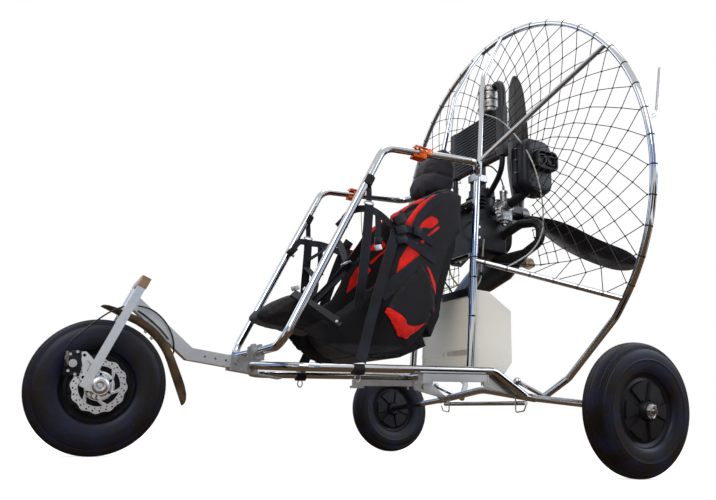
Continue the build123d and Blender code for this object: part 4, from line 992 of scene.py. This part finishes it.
# Silencer. A short stainless can, browned by heat, that a bent stub carries on the exhaust
# chamber's side, with a plated band near each end.
# heat-browned steel: tan and cream patches over satin metal
browned, tree, shader, place = start_material("heat-browned steel")
shade = two_tone(tree, place, 45.0, 5.0, "#9a7b58", "#dccdb4", (0.35, 0.65))
tree.links.new(shade, shader.inputs["Base Color"])
shader.inputs["Metallic"].default_value = 0.6
shader.inputs["Roughness"].default_value = 0.4
nodes["silencer"].data.materials[0] = browned
mesh = bmesh.new()
bar(mesh, at(0.084, 0.142, 0.812), at(0.084, 0.092, 0.790), 0.012, 20)
for x, aft, z in ((0.068, 0.1405, 0.820), (0.126, 0.1475, 0.793)):
    along = (at(0.132, 0.148, 0.790) - at(0.064, 0.140, 0.822)).normalized()
    bar(mesh, at(x, aft, z), at(x, aft, z) + along * 0.005, 0.0242, 32)
piece("silencer_bands", mesh, zinc, "frame")

# Coolant bottle. A spun alloy header bottle over the radiator, with black bands and a screwed cap.
# A thick hose joins it to the radiator's side tank, and rubber feet carry the radiator.
nodes["coolant_bottle"].data.materials[0] = die_cast
low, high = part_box("coolant_bottle")
BOTTLE = Vector(((low.x + high.x) / 2, (low.y + high.y) / 2, 0))
mesh = bmesh.new()
for rise in (0.020, 0.058, 0.096):
    start, end = (BOTTLE + Vector((0, 0, low.z + rise + step)) for step in (0, 0.005))
    bar(mesh, start, end, 0.0468, 48)
bar(mesh, BOTTLE + Vector((0, 0, high.z - 0.002)), BOTTLE + Vector((0, 0, high.z + 0.012)), 0.026, 20)
bar(mesh, BOTTLE + Vector((0, 0, high.z + 0.010)), BOTTLE + Vector((0, 0, high.z + 0.018)), 0.016, 12)
piece("bottle_bands", mesh, nylon, "frame")

# Hoses and lines. Black coolant hoses join the engine to the radiator, and fuel lines rise from the
# tank: one black, one yellowed, one clear with two black bulbs. A clear vent hose arches over all.
# black rubber hose: dull black with a faint bloom
hose_rubber, tree, shader, place = start_material("hose rubber")
shade = two_tone(tree, place, 50.0, 3.0, "#08080a", "#17171b")
tree.links.new(shade, shader.inputs["Base Color"])
shader.inputs["Roughness"].default_value = 0.4
shader.inputs["Specular IOR Level"].default_value = 0.3


def route(*spots):
    """Points on the machine, each given across, behind the rear axle and above the floor."""
    return [at(*spot) for spot in spots]


def clear_hose(name, dark, light):
    """Clear or tinted vinyl between two tones, which shows what is behind it faintly."""
    material, tree, shader, place = start_material(name)
    shade = two_tone(tree, place, 30.0, 2.0, dark, light)
    tree.links.new(shade, shader.inputs["Base Color"])
    shader.inputs["Roughness"].default_value = 0.22
    shader.inputs["Transmission Weight"].default_value = 0.35
    return material


vinyl = clear_hose("clear vinyl hose", "#9fa39f", "#cfd1ca")
yellowed = clear_hose("yellowed fuel hose", "#8f9a1c", "#c2c23a")
RAD_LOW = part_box("coolant_hoses")[1].z
left_hose = route(
    (0.167, -0.014, RAD_LOW), (0.167, -0.014, RAD_LOW - 0.036), (0.133, -0.006, RAD_LOW - 0.078),
    (0.083, 0.002, RAD_LOW - 0.108), (0.044, CASE_AFT, 1.085),
)
right_hose = route(
    (-0.167, -0.014, RAD_LOW), (-0.167, -0.014, RAD_LOW - 0.050), (-0.163, -0.010, RAD_LOW - 0.110),
    (-0.139, -0.004, RAD_LOW - 0.165), (-0.097, 0.002, RAD_LOW - 0.205), (-0.050, CASE_AFT, 1.012),
)
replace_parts(cords("coolant_hose_runs", [left_hose, right_hose], 0.024, hose_rubber, "frame"),
            "coolant_hoses")
bottle_hose = route(
    (0.110, -0.014, 1.552), (0.150, -0.014, 1.570), (0.170, -0.014, 1.530), (0.172, -0.014, 1.480),
    (0.170, -0.014, 1.432),
)
cords("bottle_hose", [bottle_hose], 0.034, hose_rubber, "frame")
boot = route(
    (0.140, CARB_AFT, CARB_Z), (0.175, CARB_AFT + 0.004, CARB_Z + 0.006),
    (0.215, CARB_AFT + 0.016, CARB_Z + 0.030), (0.222, POD.y - 0.020, POD.z - 0.090),
)
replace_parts(cords("intake_boot", [boot], 0.042, hose_rubber, "frame"), "air_box")
black_line = route((-0.002, -0.144, 0.640), (-0.002, -0.144, 0.660), (0, -0.196, 0.704), (0, -0.196, 0.753))
yellow_line = route(
    (0.052, -0.140, 0.640), (0.052, -0.140, 0.664), (0.050, -0.196, 0.712), (0.050, -0.196, 0.753),
)
bulb_line = route(
    (0.104, -0.110, 0.640), (0.104, -0.110, 0.662), (0.117, -0.096, 0.688), (0.118, -0.092, 0.714),
    (0.118, -0.084, 0.790), (0.118, -0.076, 0.865),
)
wires = [
    route((0.030, CASE_AFT - 0.012, 1.172), (0.078, -0.030, 1.186), (0.120, -0.090, 1.120),
          (0.128, -0.120, 1.060), (0.122, -0.128, 1.030)),
    route((0.105, 0.039, 1.116), (0.104, 0.030, 1.160), (0.140, -0.060, 1.190), (0.180, -0.150, 1.120),
          (0.183, -0.172, 1.000), (0.184, -0.180, 0.880), (0.184, -0.190, 0.757), (0.184, -0.200, 0.600)),
    route((0.120, -0.140, 0.976), (0.150, -0.150, 0.930), (0.182, -0.168, 0.940), (0.190, -0.160, 1.020),
          (0.188, -0.150, 1.090)),
    route((0.060, -0.075, 0.960), (0.100, -0.120, 0.940), (0.120, -0.125, 0.900), (0.090, -0.100, 0.860)),
]
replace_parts(cords("fuel_line_black", [black_line], 0.007, hose_rubber, "frame"), "fuel_lines")
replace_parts(cords("fuel_line_yellow", [yellow_line], 0.007, yellowed, "frame"), "fuel_lines")
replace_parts(cords("fuel_line_clear", [bulb_line], 0.007, vinyl, "frame"), "fuel_lines")
cords("engine_wires", wires, 0.006, cable_cover, "frame")
mesh = bmesh.new()
for z in (0.720, 0.786):
    bulb = Matrix.Translation(at(0.118, -0.090, z))
    bmesh.ops.create_uvsphere(mesh, u_segments=20, v_segments=12, radius=0.009, matrix=bulb)
block(mesh, at(0.098, -0.090, 0.786), Vector((0.042, 0.012, 0.012)), 0.002)
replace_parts(piece("fuel_bulbs", mesh, hose_rubber, "frame"), "fuel_lines")
vent_run = route(
    (0.131, -0.091, 1.410), (0.146, -0.058, 1.404), (0.186, -0.026, 1.370), (0.222, 0.000, 1.310),
    (0.262, 0.020, 1.240), (0.300, 0.030, 1.160), (0.306, 0.052, 1.080), (0.302, 0.070, 1.010),
    (0.296, 0.080, 0.940), (0.290, 0.076, 0.872), (0.290, 0.040, 0.812), (0.296, -0.020, 0.760),
    (0.300, -0.108, 0.712),
)
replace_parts(cords("vent_hose_arch", [vent_run], 0.006, vinyl, "frame"), "vent_hose")
mesh = bmesh.new()
for z in (0.757, 0.678, 0.529):
    share = (z - 0.325) / 0.8
    spot = at(0.200, -0.207 + 0.041 * share, z)
    wrapped(mesh, spot, Vector((0, 0.041, 0.8)), 0.0142, 2)
    block(mesh, spot + Vector((0.016, -0.006, 0)), Vector((0.006, 0.008, 0.006)), 0.001)
piece("cable_ties", mesh, nylon, "frame")

# Fuel tank. A blow-moulded can of natural polyethylene, milky, so light glows through its walls. A
# black bar clamps its top to the uprights, and a steel strap holds it lower down.
# natural polyethylene: milky and waxy, cream in its depth, in clouds about 200 mm across
milky, tree, shader, place = start_material("milky polyethylene")
shade = two_tone(tree, place, 5.0, 3.0, "#ebe8dc", "#fbfaf3")
tree.links.new(shade, shader.inputs["Base Color"])
shader.inputs["Roughness"].default_value = 0.42
shader.inputs["Subsurface Weight"].default_value = 0.3
shader.inputs["Subsurface Radius"].default_value = (0.03, 0.03, 0.025)
nodes["fuel_tank"].data.materials[0] = milky

STRAP_BELOW = 0.5
# the clamp's black coating and the strap's scuffed pale steel, in patches of about 15 mm
fixing, tree, shader, place = start_material("black clamp and steel strap")
apart = add(tree, "SeparateXYZ", {0: place})
is_top = add(tree, "Math", {0: apart.outputs["Z"], 1: STRAP_BELOW}, operation="GREATER_THAN")
steel = two_tone(tree, place, 60.0, 4.0, "#a8a59b", "#dcd8cc")
black = two_tone(tree, place, 60.0, 4.0, "#0a0a0c", "#1d1d21")
colour = add(tree, "MixRGB", {"Fac": is_top.outputs[0], "Color1": steel, "Color2": black})
tree.links.new(colour.outputs[0], shader.inputs["Base Color"])
shader.inputs["Roughness"].default_value = 0.4
shader.inputs["Metallic"].default_value = 0.3
nodes["tank_clamp"].data.materials[0] = fixing

# Harness cloth. The seat is sewn from coated nylon pack cloth over foam, black with red panels on
# its sides, edged with piping. Straps and wide bands are nylon webbing with a ribbed weave.
SEWING = 0.0022


def cloth_material(name, dark, light, thread, red=None):
    """Woven nylon between two tones, threads so many mm apart; red panels follow an attribute."""
    material, tree, shader, place = start_material(name)
    waves = []
    for direction in ("X", "Y", "Z"):
        waves.append(add(tree, "TexWave", {"Vector": place, "Scale": 1000 / thread / 20, "Distortion": 1.5},
                         bands_direction=direction).outputs["Fac"])
    threads = add(tree, "Math", {0: waves[1], 1: waves[2]}, operation="MULTIPLY")
    threads = add(tree, "Math", {0: threads.outputs[0], 1: waves[0]}, operation="ADD")
    shade = two_tone(tree, place, 14.0, 6.0, dark, light, (0.3, 0.7))
    surface = shade
    height = threads.outputs[0]
    if red:
        bright = two_tone(tree, place, 14.0, 6.0, *red, (0.35, 0.6))
        where = add(tree, "Attribute", attribute_name="panel").outputs["Fac"]
        inside = add(tree, "MapRange", {"Value": where, "From Min": -0.001, "From Max": 0.001})
        away = add(tree, "Math", {0: where}, operation="ABSOLUTE")
        seam = add(tree, "MapRange", {"Value": away.outputs[0], "From Min": SEWING, "From Max": 2 * SEWING})
        panels = add(tree, "MixRGB", {"Fac": inside.outputs[0], "Color1": surface, "Color2": bright})
        surface = add(tree, "MixRGB", {
            "Fac": seam.outputs[0], "Color1": hex_colour("#0c0b0d"), "Color2": panels.outputs[0],
        }).outputs[0]
    bump = add(tree, "Bump", {"Height": height, "Strength": 0.3, "Distance": 0.0006})
    tree.links.new(surface, shader.inputs["Base Color"])
    tree.links.new(bump.outputs[0], shader.inputs["Normal"])
    shader.inputs["Roughness"].default_value = 0.62
    shader.inputs["Specular IOR Level"].default_value = 0.22
    shader.inputs["Sheen Weight"].default_value = 0.06
    return material


# pack cloth: a plain weave of threads 0.5 mm apart, drawn 1.5 mm apart so that it shows
black_cloth = cloth_material("black pack cloth", "#0a0606", "#100f15", 1.5)
panel_cloth = cloth_material("pack cloth with red panels", "#0a0707", "#111018", 1.5, ("#b00e04", "#f01806"))
# webbing: ribs across the band 2 mm apart, its cold blue-grey lighter tone a painted sheen
webbing = cloth_material("nylon webbing with painted sheen", "#0a080a", "#171a28", 2.0)


def bake(thing):
    """Make a piece's modifiers part of its mesh."""
    seen = thing.evaluated_get(bpy.context.evaluated_depsgraph_get())
    shape = bpy.data.meshes.new_from_object(seen)
    thing.modifiers.clear()
    old = thing.data
    thing.data = shape
    bpy.data.meshes.remove(old)


def slab(mesh, outline, x0, x1):
    """A closed slab across the machine, from an outline of (aft, z) points."""
    face = mesh.faces.new([mesh.verts.new(at(x0, aft, z)) for aft, z in outline])
    grown = bmesh.ops.extrude_face_region(mesh, geom=[face], use_keep_orig=True)
    far = [v for v in grown["geom"] if isinstance(v, bmesh.types.BMVert)]
    bmesh.ops.translate(mesh, vec=(x1 - x0, 0, 0), verts=far)


NARROW_FROM = -0.600
NARROW_TO = -0.830
NARROW_BY = 0.66


def narrowed(mesh):
    """Draw the front of a slab in towards the middle, as the seat's cloth is gathered there."""
    for vert in mesh.verts:
        share = max(0.0, (vert.co.y - REAR_Y - NARROW_FROM) / (NARROW_TO - NARROW_FROM))
        vert.co.x *= 1 - NARROW_BY * share ** 1.2


def from_line(aft, z, start, end):
    """How far a spot lies from the straight line between two others, in metres."""
    (a0, z0), (a1, z1) = start, end
    da, dz = a1 - a0, z1 - z0
    share = max(0.0, min(1.0, ((aft - a0) * da + (z - z0) * dz) / (da * da + dz * dz)))
    return ((aft - a0 - share * da) ** 2 + (z - z0 - share * dz) ** 2) ** 0.5


def depth_inside(aft, z, outlines):
    """How far a spot lies inside the nearest of some outlines, in metres; negative is outside."""
    best = -1.0
    for outline in outlines:
        nearest = 1.0
        inside = False
        for (a0, z0), (a1, z1) in zip(outline, outline[1:] + outline[:1]):
            nearest = min(nearest, from_line(aft, z, (a0, z0), (a1, z1)))
            if (z0 > z) != (z1 > z) and aft < a0 + (z - z0) * (a1 - a0) / (z1 - z0):
                inside = not inside
        best = max(best, nearest if inside else -nearest)
    return best


VOXEL = 0.007
FINE_VOXEL = 0.006
PRESSURE = 4.0
FILLING_STEPS = 20
SEAM_HALF = 0.012


def stuffed(name, mesh, material, swell, panels=(), seams=(), front=False, voxel=VOXEL):
    """Sew and fill a pad: remesh it, blow it up as cloth within a limit, and draw in its seams."""
    bmesh.ops.recalc_face_normals(mesh, faces=mesh.faces)
    data = bpy.data.meshes.new(name)
    mesh.to_mesh(data)
    mesh.free()
    pad = link(name, data)
    remesh = pad.modifiers.new("remesh", "REMESH")
    remesh.mode = "VOXEL"
    remesh.voxel_size = voxel
    bake(pad)
    flat = [vert.co.copy() for vert in pad.data.vertices]
    scene.frame_set(1)
    cloth = pad.modifiers.new("filling", "CLOTH")
    cloth.settings.use_pressure = True
    cloth.settings.uniform_pressure_force = PRESSURE
    cloth.settings.effector_weights.gravity = 0
    cloth.point_cache.frame_end = FILLING_STEPS
    for step in range(1, FILLING_STEPS + 1):
        scene.frame_set(step)
    bake(pad)
    scene.frame_set(1)
    for vert, start in zip(pad.data.vertices, flat):
        moved = vert.co - start
        if moved.length > swell:
            vert.co = start + moved.normalized() * swell
    normals = [normal.vector.copy() for normal in pad.data.vertex_normals]
    for vert, normal in zip(pad.data.vertices, normals):
        aft, z = vert.co.y - REAR_Y, vert.co.z
        for start, end, depth in seams:
            off = from_line(aft, z, start, end)
            if off < SEAM_HALF:
                vert.co -= normal * depth * (1 - off / SEAM_HALF) ** 2
    if panels:
        mark = pad.data.attributes.new("panel", "FLOAT", "POINT")
        for n, vert in enumerate(pad.data.vertices):
            spot = vert.co.x if front else vert.co.y - REAR_Y
            depth = depth_inside(spot, vert.co.z, panels)
            mark.data[n].value = min(depth, -normals[n].y) if front else depth
    smooth = pad.modifiers.new("smooth", "SUBSURF")
    smooth.levels = 1
    smooth.render_levels = 1
    bake(pad)
    pad.data.shade_smooth()
    pad.data.materials.clear()
    pad.data.materials.append(material)
    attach(pad, "frame")
    return pad


# Seat pan and back. Two foam pads in black pack cloth: the pan's belly sags under the pilot, and
# the back is sewn across in channels. A leg tongue runs forward from the pan to a bound tip.
SEAT_HALF = 0.184
TONGUE_HALF = 0.112
TONGUE_STRAIGHT = 0.77
TONGUE_TAPER = 2.5
PAN = [(-0.722, 0.436), (-0.690, 0.404), (-0.640, 0.372), (-0.560, 0.352), (-0.473, 0.366), (-0.380, 0.412),
       (-0.404, 0.460), (-0.480, 0.412), (-0.620, 0.400), (-0.690, 0.430), (-0.722, 0.466)]
BACK = [(-0.366, 0.424), (-0.326, 0.508), (-0.300, 0.624), (-0.248, 0.800), (-0.243, 1.020), (-0.300, 1.030),
        (-0.352, 1.006), (-0.352, 0.920), (-0.345, 0.800), (-0.378, 0.640), (-0.392, 0.560), (-0.396, 0.476)]
BACK_RED = [
    [(0.130, 0.985), (0.056, 1.007), (-0.031, 1.011), (-0.093, 1.006), (-0.166, 0.982), (-0.200, 0.954),
     (-0.152, 0.923), (-0.131, 0.940), (-0.040, 0.970), (0.018, 0.985), (0.120, 0.965)],
    [(-0.200, 0.926), (-0.170, 0.898), (-0.190, 0.860)],
    [(-0.200, 0.840), (-0.160, 0.830), (-0.110, 0.760), (-0.120, 0.700), (-0.200, 0.740)],
]
TONGUE = [(-0.982, 0.462), (-0.930, 0.450), (-0.857, 0.442), (-0.740, 0.432), (-0.738, 0.484),
          (-0.800, 0.536), (-0.846, 0.556), (-0.900, 0.530), (-0.945, 0.498), (-0.982, 0.478)]

mesh = bmesh.new()
slab(mesh, PAN, -SEAT_HALF, SEAT_HALF)
narrowed(mesh)
pan = stuffed("seat_pan_pad", mesh, black_cloth, 0.008, seams=[((-0.62, 0.38), (-0.62, 0.33), 0.008)])
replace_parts(pan, "seat_pan")
mesh = bmesh.new()
slab(mesh, BACK, -SEAT_HALF, SEAT_HALF)
channels = [((-0.42, z), (-0.36 + 0.15 * (z - 0.5), z - 0.01), 0.012) for z in (0.58, 0.68, 0.78, 0.88, 0.97)]
back = stuffed("seat_back_pad", mesh, panel_cloth, 0.010, panels=BACK_RED, seams=channels, front=True)
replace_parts(back, "seat_back")
mesh = bmesh.new()
slab(mesh, TONGUE, -TONGUE_HALF, TONGUE_HALF)
for vert in mesh.verts:
    ahead = max(0.0, -vert.co.y + REAR_Y - TONGUE_STRAIGHT)
    vert.co.x *= 1 - TONGUE_TAPER * ahead
tongue = stuffed("leg_tongue", mesh, black_cloth, 0.006, voxel=FINE_VOXEL)
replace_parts(tongue, "seat_tongue")

# Side wings. A stiff padded side on each edge of the seat, from the shoulder to the lap, in black
# cloth with red panels sewn in, and a low pocket of the same cloth that bulges on its outside.
WING = [(-0.828, 0.422), (-0.770, 0.382), (-0.700, 0.350), (-0.630, 0.334), (-0.540, 0.348), (-0.470, 0.382),
        (-0.404, 0.446), (-0.368, 0.520), (-0.345, 0.633), (-0.302, 0.760), (-0.247, 0.850), (-0.244, 0.999),
        (-0.310, 1.006), (-0.377, 0.979), (-0.440, 0.927), (-0.520, 0.814), (-0.567, 0.671), (-0.600, 0.606),
        (-0.650, 0.572), (-0.744, 0.479), (-0.820, 0.440)]
POCKET = [(-0.588, 0.500), (-0.560, 0.575), (-0.500, 0.650), (-0.425, 0.706), (-0.378, 0.640),
          (-0.360, 0.580), (-0.362, 0.520), (-0.390, 0.474), (-0.446, 0.428), (-0.490, 0.404),
          (-0.528, 0.414), (-0.560, 0.460)]
RED_PANELS = [
    [(-0.540, 0.790), (-0.530, 0.840), (-0.450, 0.940), (-0.380, 0.996), (-0.322, 1.012), (-0.400, 0.936),
     (-0.446, 0.880), (-0.482, 0.806)],
    [(-0.461, 0.816), (-0.443, 0.840), (-0.422, 0.863), (-0.389, 0.886), (-0.362, 0.879), (-0.353, 0.861),
     (-0.389, 0.830), (-0.421, 0.830), (-0.443, 0.817)],
    [(-0.356, 0.855), (-0.347, 0.842), (-0.388, 0.806), (-0.423, 0.767), (-0.442, 0.774), (-0.426, 0.791),
     (-0.389, 0.826)],
    [(-0.541, 0.622), (-0.522, 0.700), (-0.492, 0.752), (-0.452, 0.776), (-0.420, 0.748), (-0.441, 0.717),
     (-0.484, 0.676)],
    [(-0.424, 0.712), (-0.388, 0.678), (-0.362, 0.630), (-0.352, 0.560), (-0.372, 0.600), (-0.396, 0.660)],
]
POCKET_RED = [
    [(-0.600, 0.500), (-0.575, 0.526), (-0.549, 0.513), (-0.519, 0.499), (-0.498, 0.483), (-0.493, 0.466),
     (-0.467, 0.464), (-0.426, 0.477), (-0.390, 0.490), (-0.379, 0.513), (-0.385, 0.536), (-0.369, 0.556),
     (-0.362, 0.600), (-0.340, 0.525), (-0.384, 0.440), (-0.446, 0.400), (-0.491, 0.390), (-0.540, 0.400)],
]
for side, word in SIDES:
    mesh = bmesh.new()
    slab(mesh, WING, side * 0.1945, side * 0.2085)
    narrowed(mesh)
    wing = stuffed("seat_wing_" + word, mesh, panel_cloth, 0.006, panels=RED_PANELS)
    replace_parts(wing, "seat_wings")
    mesh = bmesh.new()
    slab(mesh, POCKET, side * 0.212, side * 0.219)
    pocket = stuffed("side_pocket_" + word, mesh, panel_cloth, 0.014, panels=POCKET_RED, voxel=FINE_VOXEL)

# Headrest. A tall soft pad of faded cloth that stands on the shoulders of the back, waisted low
# down where its straps draw it in, with a rounded top.
# faded pack cloth: the same weave, gone a dull violet grey in the sun
faded_cloth = cloth_material("faded pack cloth", "#17141a", "#25222c", 1.5)
HEADREST = [(-0.316, 1.040), (-0.326, 1.085), (-0.306, 1.128), (-0.292, 1.180), (-0.268, 1.225),
            (-0.232, 1.246), (-0.196, 1.228), (-0.180, 1.160), (-0.186, 1.090), (-0.206, 1.040)]
HEADREST_HALF = 0.066
mesh = bmesh.new()
slab(mesh, HEADREST, -HEADREST_HALF, HEADREST_HALF)
headrest = stuffed("headrest_pad", mesh, faded_cloth, 0.008,
                   seams=[((-0.32, 1.128), (-0.18, 1.118), 0.008), ((-0.29, 1.20), (-0.20, 1.20), 0.003)])
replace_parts(headrest, "headrest")


# Harness straps. Webbing bands run from the hoops, down past the lap and round the rails; others
# cross the chest and lie over the lap. Each is sewn back on itself and closes with a buckle.
def band(mesh, points, width, thick, facing):
    """A flat band along some points, its flat side turned to the facing direction."""
    rings = []
    for n, spot in enumerate(points):
        before = points[max(n - 1, 0)]
        after = points[min(n + 1, len(points) - 1)]
        along = (after - before).normalized()
        edge = along.cross(facing).normalized() * width / 2
        out = edge.cross(along).normalized() * thick / 2
        corners = ((edge, out), (-edge, out), (-edge, -out), (edge, -out))
        rings.append([mesh.verts.new(spot + a + b) for a, b in corners])
    for first, second in zip(rings, rings[1:]):
        for n in range(4):
            mesh.faces.new((first[n], first[(n + 1) % 4], second[(n + 1) % 4], second[n]))
    mesh.faces.new(rings[0])
    mesh.faces.new(reversed(rings[-1]))


def rounded(points, parts=6):
    """Points along a smooth line that bends towards each given point."""
    spots = [points[0]]
    for before, here, after in zip(points, points[1:], points[2:]):
        start = (before + here) / 2
        end = (here + after) / 2
        for n in range(parts + 1):
            share = n / parts
            spots.append(start.lerp(here, share).lerp(here.lerp(end, share), share))
    return spots + [points[-1]]


OUT = Vector((1, 0, 0))
LOOPS = (
    # across, behind the axle, height, and the way that the tube runs there
    (0.272, -0.686, 0.942, Vector((0, 0.40, 0.90))),
    (0.2495, -0.688, 0.296, Vector((0, 1, 0.05))),
)
STRAP_THICK = 0.0032
STRAPS = (
    # width, the points of its route, which lie across, behind the axle and above the floor
    (0.020, ((0.2735, -0.686, 0.928), (0.273, -0.682, 0.900), (0.272, -0.681, 0.866))),
    (0.034, ((0.272, -0.680, 0.858), (0.270, -0.680, 0.800), (0.266, -0.686, 0.660), (0.258, -0.690, 0.570),
             (0.232, -0.686, 0.520), (0.214, -0.672, 0.500))),
    (0.038, ((0.226, -0.512, 0.866), (0.231, -0.548, 0.792), (0.236, -0.590, 0.650), (0.240, -0.637, 0.486),
             (0.247, -0.664, 0.380), (0.262, -0.684, 0.322))),
    (0.026, ((0.270, -0.674, 0.842), (0.246, -0.620, 0.838), (0.224, -0.560, 0.812), (0.216, -0.500, 0.790))),
    (0.024, ((0.270, -0.686, 0.842), (0.246, -0.730, 0.838), (0.236, -0.756, 0.800))),
    (0.022, ((0.252, -0.634, 0.842), (0.251, -0.630, 0.780), (0.250, -0.628, 0.722))),
    (0.030, ((0.264, -0.684, 0.735), (0.200, -0.684, 0.700), (0.130, -0.692, 0.655), (0.060, -0.735, 0.580),
             (0.022, -0.785, 0.520), (0.010, -0.812, 0.492))),
    (0.026, ((0.224, -0.530, 0.815), (0.218, -0.480, 0.815), (0.216, -0.430, 0.800),
             (0.2165, -0.380, 0.778))),
    (0.026, ((0.224, -0.530, 0.775), (0.218, -0.480, 0.765), (0.216, -0.430, 0.742),
             (0.2165, -0.372, 0.712))),
    (0.052, ((0.218, -0.596, 0.560), (0.219, -0.540, 0.606), (0.219, -0.480, 0.655), (0.216, -0.430, 0.700))),
    (0.030, ((0.2165, -0.470, 0.812), (0.2165, -0.440, 0.868), (0.2165, -0.395, 0.925),
             (0.2150, -0.335, 0.975))),
)
for side, word in SIDES:
    mesh = bmesh.new()
    for width, points in STRAPS:
        band(mesh, rounded([at(side * x, aft, z) for x, aft, z in points]), width, STRAP_THICK, OUT * side)
    straps = piece("hung_straps_" + word, mesh, webbing, "frame", sharp=50)
    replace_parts(straps, "seat_straps")
    mesh = bmesh.new()
    for x, aft, z, along in LOOPS:
        spot = at(side * x, aft, z)
        bar(mesh, spot - along * 0.019, spot + along * 0.019, 0.0178, 24)
    piece("strap_sleeves_" + word, mesh, black_cloth, "frame")

mesh = bmesh.new()
CHEST = ((-0.262, -0.676, 0.770), (-0.190, -0.640, 0.800), (-0.080, -0.655, 0.812), (0.020, -0.668, 0.780),
         (0.110, -0.684, 0.690))
band(mesh, rounded(route(*CHEST)), 0.026, STRAP_THICK, Vector((0, -0.9, 0.45)))
LEG = ((0.140, -0.694, 0.642), (0.080, -0.730, 0.590), (0.020, -0.790, 0.505))
band(mesh, rounded(route(*LEG)), 0.020, STRAP_THICK, Vector((0.5, -0.8, 0.3)))
piece("chest_and_leg_straps", mesh, webbing, "frame", sharp=50)

# Buckles. Ladder locks and side-release buckles of black nylon join the straps; a plated ring hangs
# under each sleeve, and a cam buckle and two clips of plated steel close the chest and leg straps.
BUCKLES = (
    # across, behind the axle, height, size, how far it leans back from upright in degrees
    (0.232, -0.536, 0.838, (0.014, 0.050, 0.034), 30),
    (0.232, -0.530, 0.800, (0.016, 0.046, 0.030), 20),
    (0.231, -0.524, 0.764, (0.013, 0.044, 0.026), 15),
    (0.224, -0.455, 0.808, (0.012, 0.032, 0.036), -10),
    (0.236, -0.762, 0.788, (0.016, 0.026, 0.044), -40),
    (0.250, -0.628, 0.742, (0.010, 0.028, 0.022), 0),
)
STEEL_BUCKLES = (
    (0.250, -0.628, 0.716, (0.008, 0.026, 0.020), 20),
    (0.246, -0.752, 0.772, (0.004, 0.012, 0.012), -40),
)
plastic = bmesh.new()
plated = bmesh.new()
for side in (1, -1):
    for mesh, table in ((plastic, BUCKLES), (plated, STEEL_BUCKLES)):
        for x, aft, z, size, lean in table:
            place = Matrix.Translation(at(side * x, aft, z)) @ Matrix.Rotation(radians(lean), 4, "X")
            block(mesh, Vector((0, 0, 0)), Vector(size), 0.0018, place)
STIFFENERS = (
    # one end, the other end, width, thickness
    (at(0.118, -0.880, 0.546), at(0.205, -0.748, 0.452), 0.032, 0.010),
    (at(0.140, -0.860, 0.530), at(0.214, -0.742, 0.436), 0.018, 0.016),
)
for start, end, width, thick in STIFFENERS:
    band(plastic, [start, start.lerp(end, 0.5), end], width, thick, Vector((0.7, -0.3, 0.65)))
for across, aft, z, turn in ((0.112, -0.870, 0.566, 20), (0.140, -0.838, 0.556, -25)):
    place = Matrix.Translation(at(across, aft, z)) @ Matrix.Rotation(radians(turn), 4, "X")
    block(plated, Vector((0, 0, 0)), Vector((0.006, 0.030, 0.016)), 0.002, place)
bar(plated, at(0.208, -0.750, 0.446), at(0.214, -0.756, 0.452), 0.0055, 16)
cam = Matrix.Translation(at(0.150, -0.690, 0.678)) @ Matrix.Rotation(radians(35), 4, "X")
block(plated, Vector((0, 0, 0)), Vector((0.034, 0.058, 0.010)), 0.003, cam)
block(plastic, Vector((0, 0.012, -0.012)), Vector((0.040, 0.040, 0.014)), 0.003, cam)
piece("strap_buckles", plastic, nylon, "frame")
piece("strap_clips", plated, zinc, "frame")
RINGS = (
    # across, behind the axle, height, half length, half height
    (0.272, -0.681, 0.862, 0.019, 0.006),
    (0.2495, -0.688, 0.268, 0.010, 0.014),
)
for side, word in SIDES:
    rings = []
    for x, aft, z, wide, tall in RINGS:
        middle = at(side * x, aft, z)
        turns = [tau * n / 12 for n in range(13)]
        rings.append([middle + Vector((0, wide * cos(turn), tall * sin(turn))) for turn in turns])
    cords("strap_rings_" + word, rings, 0.0045, zinc, "frame")
drawstring = route(
    (0.262, -0.705, 0.842), (0.258, -0.700, 0.780), (0.256, -0.690, 0.722), (0.254, -0.682, 0.780),
    (0.262, -0.690, 0.842),
)
cords("drawstring", [drawstring], 0.0022, cable_cover, "frame")
